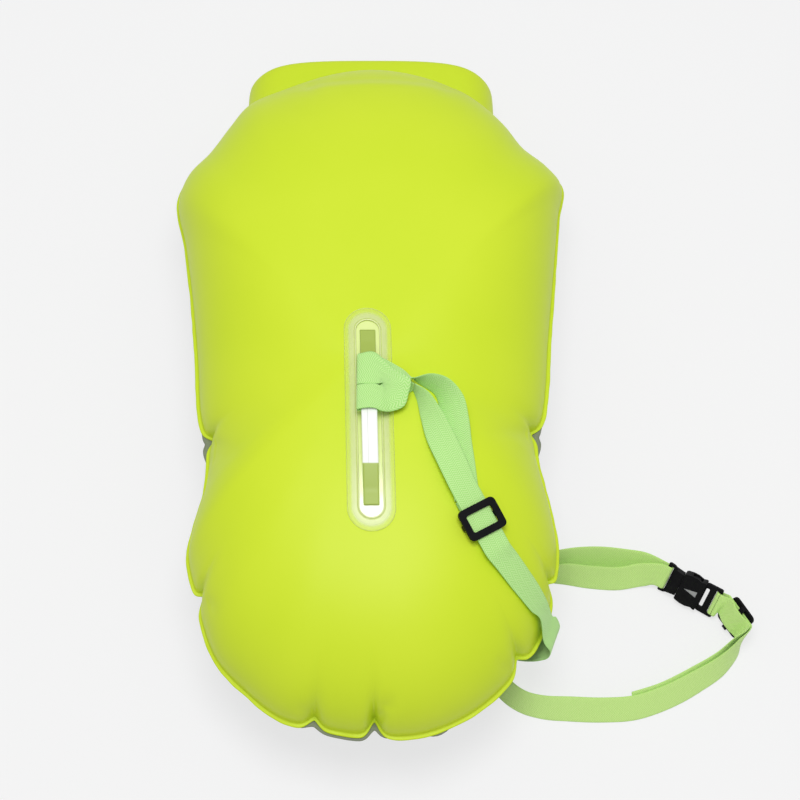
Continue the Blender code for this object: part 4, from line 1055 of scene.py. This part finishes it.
def makePanel(name, side, material, node, rim=1.0, shares=None):
    levels = outwardLevels(bag["rings"])

    def place(angle, level):
        return sheetPoint(angle, level, bag["seamHeight"] + side * panelRise(angle, level))

    rings = [[place(angle, level) for angle in sheetAngles] for level in levels]
    for grow in bag["panelRim"]:
        rings.append([rimPoint(angle, grow, side, rim, shares) for angle in sheetAngles])
    bm, rings = roundSheet(place(0.0, 0.0), rings)
    bmesh.ops.recalc_face_normals(bm, faces=bm.faces)
    bm.normal_update()
    moved = []
    for ring, level in zip(rings, levels):
        for vert in ring:
            x, y = vert.co.xy
            dent = dentAt(x, y) if side > 0 else creases["undersideShare"] * dentAt(x, y)
            dent *= min(1.0, (1.0 - level**8) * creases["seamFade"] + creases["seamShare"])
            press = pressAt(x, y) * min(1.0, (1.0 - level) * creases["pressFade"]) if side > 0 else 0.0
            inward = Vector((0.0, 0.0, -side)) * 0.5 - Vector((x, y, 0.0)).normalized() * 0.5
            if level < creases["leanFrom"]:
                inward = -vert.normal if vert.normal.z * side > 0 else vert.normal
            moved.append((vert, inward * dent - Vector((0.0, 0.0, press))))
    for vert, move in moved:
        vert.co += move
        if side < 0:
            vert.co.z = max(0.0, vert.co.z)
    mesh = meshFrom(name, bm)
    crownFace = min(mesh.polygons, key=lambda face: face.center.xy.length)
    if (crownFace.normal.z > 0) != (side > 0):
        mesh.flip_normals()
    panel = addPiece(name, mesh, material, "bag", node)
    modify(panel, "SOLIDIFY", thickness=bag["film"] * 0.8, offset=-1.0)


def makeLiner():
    # The sheet between the two compartments, seen only where the rim holds it
    middle, sag = bag["seamHeight"], bag["linerSag"]
    rings = []
    for level in outwardLevels(bag["linerRings"]):
        height = middle - sag * max(0.0, 1.0 - level**2) ** 1.5
        rings.append([sheetPoint(angle, level, height) for angle in sheetAngles])
    rings += [[rimPoint(angle, grow, 0) for angle in sheetAngles] for grow in bag["linerRim"]]
    bm, _ = roundSheet((0.0, 0.0, middle - sag), rings)
    liner = addPiece("dryLiner", meshFrom("dryLiner", bm), limeFilm, "bag", "dry_compartment_liner")
    modify(liner, "SOLIDIFY", thickness=bag["film"], offset=0.0)


makePanel("upperPanel", 1, limeFilm, "handle_side_panel")
makePanel("lowerPanel", -1, greyFilm, "valve_side_panel", 0.75, undersideTuckShares)
makeLiner()
print("panels made")

# Rolled mouth and its buckle's tabs

roll = {
    # the upper part is moved and widened, more and more from one height over the next few centimetres
    "shift": -0.0028,
    "widen": 1.008,
    "shiftFrom": 0.03,
    "shiftOver": 0.03,
    "thickness": 0.0140,
    "endReach": 0.056,
    "stitch": 0.018,
    "buckleCenter": (0.0, 0.36162, 0.0210),
}


def makeRoll():
    piece = tubeCopy("rolledMouth", "rolled_mouth", limeFilm, "bag", levels=2)
    for vert in piece.data.vertices:
        upper = min(1.0, max(0.0, (vert.co.z - roll["shiftFrom"]) / roll["shiftOver"]))
        vert.co.x += (vert.co.x * (roll["widen"] - 1.0) + roll["shift"]) * upper


def rollBuckleMatrix():
    return frameMatrix(Vector(roll["buckleCenter"]), Vector((1.0, 0.0, 0.0)), Vector((0.0, 0.0, -1.0)))


def makeRollTabs():
    # Webbing sewn to the roll's ends and folded round the bars of its buckle
    matrix = rollBuckleMatrix()
    bar, radius = buckle["barPlace"], foldRadii()[1]
    lie = roll["thickness"] / 2 + webbing["gap"] + webbing["thickness"] / 2
    reach = roll["endReach"]
    leg = [(reach + roll["stitch"], lie), (reach - webbing["gap"], lie), (reach * 0.78, (lie + radius) / 2)]
    path = leg + foldRoundBar(1, 1)[1:] + [(x, -z) for x, z in reversed(leg)]
    for side, name, node in ((-1, "rollTabLeft", "roll_tab_left"), (1, "rollTabRight", "roll_tab_right")):
        rows = localRows(matrix, [(side * x, z) for x, z in path])
        tab, _ = makeWebbing(name, rows, beltWebbing, "bag" if side > 0 else None, node)
        if side < 0:
            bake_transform(tab)


makeRoll()
makeRollTabs()
print("roll made")

# Handle

handle = {
    "patchLength": 0.2100,
    "patchWidth": 0.042,
    "center": (0.0009, -0.059),
    "turn": 1.6,
    "film": 0.0006,
    "bead": 0.0009,
    "slotLength": 0.1850,
    "slotWidth": 0.0205,
    "stripWidth": 0.0138,
    "stripFilm": 0.0014,
    "stripTop": 0.0240,
    "stripFoot": -0.141,
    "stripWeld": 0.013,
    "stripArch": 0.0115,
    "stripSteps": 56,
    # points round and outwards of the patch and of the window
    "patchGrid": (280, 40),
    "windowGrid": (160, 6),
    "windowMiddle": 0.02,
    # where the beads at the slot and at the patch's edge are, how wide, and how high
    "beads": ((0.06, 0.06, 1.0), (0.97, 0.03, 0.9)),
}
stripLook = {
    # the clear film's near-white colour is a painted highlight, and the grey streak down it a painted
    # reflection
    "film": (0.900, 0.915, 0.890),
    "reflectionStreak": (0.560, 0.590, 0.540),
    "weld": (0.360, 0.470, 0.085),
    "shader": {"Roughness": 0.40, "Specular IOR Level": 0.25, "Coat Weight": 0.12, "Coat Roughness": 0.30},
    # reach of the two welds, and how sharp their ends are
    "weldTop": 0.0265,
    "weldFoot": 0.0345,
    "weldSharpness": 900.0,
    "streakPlace": 0.0016,
    "streakSharpness": 1600.0,
    "streakShare": 0.7,
}


def stadium(turnShare, length, width):
    # Point of a slot's outline: half of each side is the round end, the other half the straight run
    radius = width / 2
    straight = length / 2 - radius
    side = 1 if turnShare < 0.5 else -1
    local = turnShare * 4 % 2 / 2
    if local < 0.5:
        turn = pi * local / 0.5
        return radius * cos(turn) * side, (straight + radius * sin(turn)) * side
    return -radius * side, straight * (1 - 2 * (local - 0.5) / 0.5) * side


def middleAt(y):
    x, middle = handle["center"]
    return x - (y - middle) * tan(radians(handle["turn"]))


def makePatch():
    middle, slot = handle["center"][1], (handle["slotLength"], handle["slotWidth"])

    def place(column, row):
        inner = stadium(column, *slot)
        outer = stadium(column, handle["patchLength"], handle["patchWidth"])
        y = middle + inner[1] + (outer[1] - inner[1]) * row
        x = middleAt(y) + inner[0] + (outer[0] - inner[0]) * row
        bead = sum(high * exp(-(((row - at) / wide) ** 2)) for at, wide, high in handle["beads"])
        return seatOnBag(x, y, bag["gap"] + handle["film"] + handle["bead"] * bead)[0]

    def placeWindow(column, row):
        outer = stadium(column, *slot)
        share = handle["windowMiddle"] + (1.0 - handle["windowMiddle"]) * row
        y = middle + outer[1] * share
        return seatOnBag(middleAt(y) + outer[0] * share, y, bag["gap"] * 0.6)[0]

    mesh = collarMesh("handlePatch", *handle["patchGrid"], place)
    patch = addPiece("handlePatch", mesh, patchFilm, "bag", "handle_patch")
    outside = -1.0 if max(mesh.polygons, key=lambda face: face.area).normal.z > 0 else 1.0
    modify(patch, "SOLIDIFY", thickness=handle["film"], offset=outside)
    window = collarMesh("slotWindow", *handle["windowGrid"], placeWindow)
    addPiece("slotWindow", window, windowFilm, "bag")


def stripHeight(y):
    top, foot, weld = handle["stripTop"], handle["stripFoot"], handle["stripWeld"]
    run = (top - weld - y) / (top - foot - 2 * weld)
    rise = sin(pi * min(max(run, 0.0), 1.0))
    return bag["gap"] + handle["stripFilm"] / 2 + handle["stripArch"] * rise


def stripMaterial():
    # Clear film painted near-white as a painted highlight, greener where it is welded at both ends, with one
    # grey streak that is a painted reflection
    material, tree, shader = newMaterial("stripFilm", stripLook["shader"])
    across, along = uvPlaces(tree)
    sharp = stripLook["weldSharpness"]
    atFoot = handle["stripTop"] - handle["stripFoot"] - stripLook["weldFoot"]
    fromTop = mathNode(tree, "SUBTRACT", stripLook["weldTop"], along)
    fromTop = mathNode(tree, "MULTIPLY", fromTop, sharp, clamp=True)
    fromFoot = mathNode(tree, "MULTIPLY", mathNode(tree, "SUBTRACT", along, atFoot), sharp, clamp=True)
    weld = mathNode(tree, "MAXIMUM", fromTop, fromFoot)
    away = mathNode(tree, "ABSOLUTE", mathNode(tree, "ADD", across, stripLook["streakPlace"]))
    away = mathNode(tree, "MULTIPLY", away, stripLook["streakSharpness"], clamp=True)
    reflectionStreak = mathNode(tree, "MULTIPLY", mathNode(tree, "SUBTRACT", 1.0, away), stripLook["streakShare"])
    color = mixColor(tree, reflectionStreak, stripLook["film"], stripLook["reflectionStreak"])
    tree.links.new(mixColor(tree, weld, color, stripLook["weld"]), shader.inputs["Base Color"])
    return material


def makeStrip():
    rows, steps = [], handle["stripSteps"]
    for k in range(steps + 1):
        y = handle["stripTop"] + (handle["stripFoot"] - handle["stripTop"]) * k / steps
        x = middleAt(y)
        rows.append((x, y, bagHeight(x, y) + stripHeight(y), 1.0, 0.0, 0.0))
    makeWebbing(
        "handleStrip", rows, stripMaterial(), "bag", "handle_strip", width=handle["stripWidth"],
        thickness=handle["stripFilm"],
    )


makePatch()
makeStrip()
print("handle made")

# Moulded black pieces

plasticLook = {
    # colour, colour of the wear, roughness
    "black": ((0.0035, 0.0035, 0.0040), (0.0090, 0.0090, 0.0100), 0.44),
    "valve": ((0.72, 0.74, 0.72), (0.80, 0.82, 0.80), 0.35),
    # the vent's grey is painted shade: the shaded table seen through the buckle's opening
    "vent": ((0.330, 0.330, 0.345), (0.400, 0.400, 0.415), 0.45),
    "specular": 0.06,
    "mottleSize": 240.0,
    "roughnessSpread": 0.14,
    "grainSize": 3000.0,
    "bump": (0.25, 0.00006),
}


def plasticMaterial(kind):
    color, wear, roughness = plasticLook[kind]
    material, tree, shader = newMaterial(kind + "Plastic", {"Specular IOR Level": plasticLook["specular"]})
    place, spread = objectPlace(tree), plasticLook["roughnessSpread"]
    mottle = noiseNode(tree, place, plasticLook["mottleSize"], 4.0)
    tree.links.new(mixColor(tree, mottle, color, wear), shader.inputs["Base Color"])
    roughness = mathNode(tree, "MULTIPLY_ADD", mottle, spread, roughness - spread / 2)
    tree.links.new(roughness, shader.inputs["Roughness"])
    bumpFrom(tree, shader, noiseNode(tree, place, plasticLook["grainSize"]), *plasticLook["bump"])
    return material


blackPlastic = plasticMaterial("black")
valvePlastic = plasticMaterial("valve")
ventShadeSheet = plasticMaterial("vent")
mouldedLook = {
    "bevel": 0.00045,
    "armBevel": 0.00035,
    "railGrowth": 0.0018,
    "barGrowth": 0.0014,
    "beltSliderWidth": 0.90,
    # a slider's opening: half length, half width, inner face of the rails, crossbar, foot of the rails
    # at the crossbar, and inner face of the end bars
    "sliderOpening": (0.0094, 0.0151, 0.0130, 0.0027, 0.01485, 0.0076),
    # a buckle's slot face: from and to along it, half width, and how far it is filled
    "slotFace": (0.0204, 0.0218, 0.0134),
    "slotFill": 0.0017,
    # the grey sheet of painted shade in the vent: start, end, half width, underside and top in the buckle's
    # frame
    "vent": (-0.0075, 0.0074, 0.0034, 0.0034, 0.0040),
    # where each latch arm bends: at the belt's buckle and at the roll's
    "hinges": (
        ("upper", (0.29373, -0.14942, 0.02296), (-0.0092, 0.35182, 0.0210)),
        ("lower", (0.28738, -0.16030, 0.00794), (-0.0092, 0.37142, 0.0210)),
    ),
    # reach of the bend on both sides of the hinge
    "hingeReach": (0.001, 0.006),
}
mouldedPieces = {
    "leash_slider": "leash_slider_body",
    "belt_slider": "belt_slider_body",
    "belt_buckle_socket": "bag",
    "belt_buckle_plug": "belt_plug_body",
    "roll_buckle_socket": "bag",
    "roll_buckle_plug": "roll_plug_body",
}


def camelName(node):
    first, *rest = node.split("_")
    return first + "".join(word.title() for word in rest) + "Moulding"


def moveLocal(piece, matrix, mover):
    # Moves the points of a copy in the piece's own frame
    back = matrix.inverted()
    for vert in piece.data.vertices:
        vert.co = matrix @ mover(back @ vert.co)


def stouterSlider(point):
    # Wider bars and rails, towards the webbing
    length, width, rail, crossbar, foot, bar = mouldedLook["sliderOpening"]
    x, y = abs(point.x), abs(point.y)
    if x < length and y < width:
        if y > rail and (x > crossbar or y < foot):
            point.y -= copysign(mouldedLook["railGrowth"], point.y)
        if x > bar:
            point.x -= copysign(mouldedLook["barGrowth"], point.x)
    return point


def narrowerSlider(point):
    point = stouterSlider(point)
    point.y *= mouldedLook["beltSliderWidth"]
    return point


def fullerBuckle(point):
    # Closes the slots at both ends up to the webbing
    near, far, half = mouldedLook["slotFace"]
    if near < abs(point.x) < far and abs(point.y) < half:
        point.x += copysign(mouldedLook["slotFill"], point.x)
    return point


def makeVentShadeSheet():
    # A grey sheet in the three-cornered opening in the buckle's face: painted shade for the shaded table
    # seen through it
    matrix = beltBuckleMatrix()
    bm = bmesh.new()
    start, end, half, *heights = mouldedLook["vent"]
    corners = ((start, 0.0), (end, -half), (end, half))
    low, high = ([bm.verts.new(placeIn(matrix, x, y, z)) for x, y in corners] for z in heights)
    bm.faces.new(low)
    bm.faces.new(list(reversed(high)))
    for k in range(3):
        bm.faces.new((low[k], low[(k + 1) % 3], high[(k + 1) % 3], high[k]))
    vent = addPiece("buckleVentFloor", meshFrom("buckleVentFloor", bm), ventShadeSheet, "bag")
    vent.data.shade_flat()


def makeLatchArm(word, buckleName):
    node = f"{buckleName}_buckle_{word}_latch_arm"
    arm = tubeCopy(camelName(node), node, blackPlastic, None, bevel=mouldedLook["armBevel"])
    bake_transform(arm)


def makeMoulded():
    copies = {
        node: tubeCopy(camelName(node), node, blackPlastic, body, bevel=mouldedLook["bevel"])
        for node, body in mouldedPieces.items()
    }
    moveLocal(copies["leash_slider"], leashSliderMatrix(), stouterSlider)
    moveLocal(copies["belt_slider"], beltSliderMatrix(), narrowerSlider)
    for word in ("socket", "plug"):
        moveLocal(copies["belt_buckle_" + word], beltBuckleMatrix(), fullerBuckle)
        moveLocal(copies["roll_buckle_" + word], rollBuckleMatrix(), fullerBuckle)
    makeVentShadeSheet()
    for word, beltHinge, rollHinge in mouldedLook["hinges"]:
        makeLatchArm(word, "belt")
        makeLatchArm(word, "roll")
    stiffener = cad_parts["mouth_stiffener"]
    stiffener.data.materials.clear()
    stiffener.data.materials.append(blackPlastic)


makeMoulded()
print("moulded pieces made")

# Inflation valve on the underside

valve = {
    "place": (0.107996, 0.236002),
    # radius and height in millimetres: round the body, and from the cap's top to its underside
    "body": (
        (5.0, 6.9), (7.0, 6.9), (7.5, 6.75), (7.8, 6.3), (7.8, 1.9), (8.1, 1.3), (8.9, 1.0), (11.8, 0.95),
        (12.3, 1.15), (13.2, 1.15), (13.7, 0.95), (15.9, 0.9), (16.4, 0.7), (16.5, 0.35), (16.3, 0.0),
        (4.2, 0.0), (4.2, 6.1), (4.4, 6.6),
    ),
    "cap": (
        (0.0, 9.5), (3.0, 9.5), (3.6, 9.8), (6.9, 9.8), (7.7, 9.6), (8.1, 9.1), (8.2, 8.5), (8.2, 7.5),
        (7.9, 7.2), (3.1, 7.2), (2.8, 5.7), (0.0, 5.7),
    ),
    "strap": ((6.6, 8.0), (8.2, 8.0), (9.6, 8.15), (11.0, 8.0)),
    "strapWidth": 0.005,
    "strapFilm": 0.0008,
    "tetherBevel": 0.0003,
    "steps": 72,
}


def valveMatrix():
    x, y = valve["place"]
    inward = surfaceNormal(underHeight, x, y)
    origin = Vector((x, y, underHeight(x, y))) - inward * bag["gap"]
    return frameMatrix(origin, Vector((x, y, 0.0)), -inward)


def turnedMesh(name, profile, matrix, closed):
    # A turned form round its axis; a point of the profile on the axis becomes one point
    bm = bmesh.new()
    steps = valve["steps"]
    rings = [
        [
            bm.verts.new(matrix @ pointAt(tau * k / steps, radius / 1000, height / 1000))
            for k in range(steps if radius else 1)
        ]
        for radius, height in profile
    ]
    for first, second in zip(rings, rings[1:] + (rings[:1] if closed else [])):
        for k in range(steps):
            turns = ((first, k), (first, k + 1), (second, k + 1), (second, k))
            corners = [ring[n % len(ring)] for ring, n in turns]
            bm.faces.new(list(dict.fromkeys(corners)))
    mesh = meshFrom(name, bm)
    mesh.set_sharp_from_angle(angle=radians(copyDetail["sharpAngle"]))
    return mesh


def makeValve():
    matrix = valveMatrix()
    body = turnedMesh("inflationValve", valve["body"], matrix, True)
    addPiece("inflationValve", body, valvePlastic, "bag", "inflation_valve")
    cap = turnedMesh("valveStopper", valve["cap"], matrix, False)
    addPiece("valveStopper", cap, valvePlastic, "stopper_body", "valve_stopper")
    rows = localRows(matrix, [(x / 1000, z / 1000) for x, z in valve["strap"]])
    makeWebbing(
        "stopperStrap", rows, valvePlastic, "stopper_body", width=valve["strapWidth"],
        thickness=valve["strapFilm"],
    )
    tubeCopy("stopperTether", "stopper_tether", valvePlastic, "bag", bevel=valve["tetherBevel"])


makeValve()
print("valve made")

# Floor, lamp and world

studio = {
    "floor": (0.90, 0.90, 0.905),
    "floorSpread": 0.985,
    "floorShader": {"Roughness": 0.8, "Specular IOR Level": 0.2},
    "floorReach": 6.0,
    "mottleSize": 1.5,
    "glow": (0.925, 0.925, 0.928),
    "glowShare": 0.75,
    "worldStrength": 0.50,
    "backdrop": 0.93,
    "keyPower": 21.5,
    "keySize": 1.0,
    "keyPlace": (0.04, -0.05, 2.05),
    "keyAim": (0.0, 0.0, 0.1),
}


def seenDirectly(tree):
    # 1 for what the camera, a mirror or glass sees, 0 for the light that falls on the object
    path = tree.nodes.new("ShaderNodeLightPath").outputs
    first = mathNode(tree, "ADD", path["Is Camera Ray"], path["Is Glossy Ray"])
    return mathNode(tree, "ADD", first, path["Is Transmission Ray"], clamp=True)


def makeFloor():
    bm = bmesh.new()
    bmesh.ops.create_grid(bm, x_segments=1, y_segments=1, size=studio["floorReach"])
    mesh = bpy.data.meshes.new("paleTable")
    bm.to_mesh(mesh)
    bm.free()
    material, tree, shader = newMaterial("paleTable", studio["floorShader"])
    soft = noiseNode(tree, objectPlace(tree), studio["mottleSize"])
    darker = tuple(c * studio["floorSpread"] for c in studio["floor"])
    tree.links.new(mixColor(tree, soft, studio["floor"], darker), shader.inputs["Base Color"])
    glow = tree.nodes.new("ShaderNodeEmission")
    feed(tree, glow.inputs["Color"], studio["glow"])
    both = tree.nodes.new("ShaderNodeMixShader")
    share = mathNode(tree, "MULTIPLY", seenDirectly(tree), studio["glowShare"])
    for place, value in enumerate((share, shader.outputs[0], glow.outputs[0])):
        tree.links.new(value, both.inputs[place])
    tree.links.new(both.outputs[0], tree.nodes["Material Output"].inputs["Surface"])
    table = bpy.data.objects.new("paleTable", mesh)
    scene.collection.objects.link(table)
    mesh.materials.append(material)


def makeLamp():
    data = bpy.data.lights.new("keyLamp", "AREA")
    data.shape = "DISK"
    data.size = studio["keySize"]
    data.energy = studio["keyPower"]
    lamp = bpy.data.objects.new("keyLamp", data)
    scene.collection.objects.link(lamp)
    lamp.location = studio["keyPlace"]
    away = Vector(studio["keyPlace"]) - Vector(studio["keyAim"])
    lamp.rotation_euler = away.to_track_quat("Z", "Y").to_euler()


def makeWorld():
    world = bpy.data.worlds.new("studio")
    scene.world = world
    world.use_nodes = True
    tree = world.node_tree
    shader = tree.nodes["Background"]
    shader.inputs["Color"].default_value = (1.0, 1.0, 1.0, 1.0)
    extra = studio["backdrop"] - studio["worldStrength"]
    strength = mathNode(tree, "MULTIPLY_ADD", seenDirectly(tree), extra, studio["worldStrength"])
    tree.links.new(strength, shader.inputs["Strength"])


makeFloor()
makeWorld()
makeLamp()
print("studio lit")
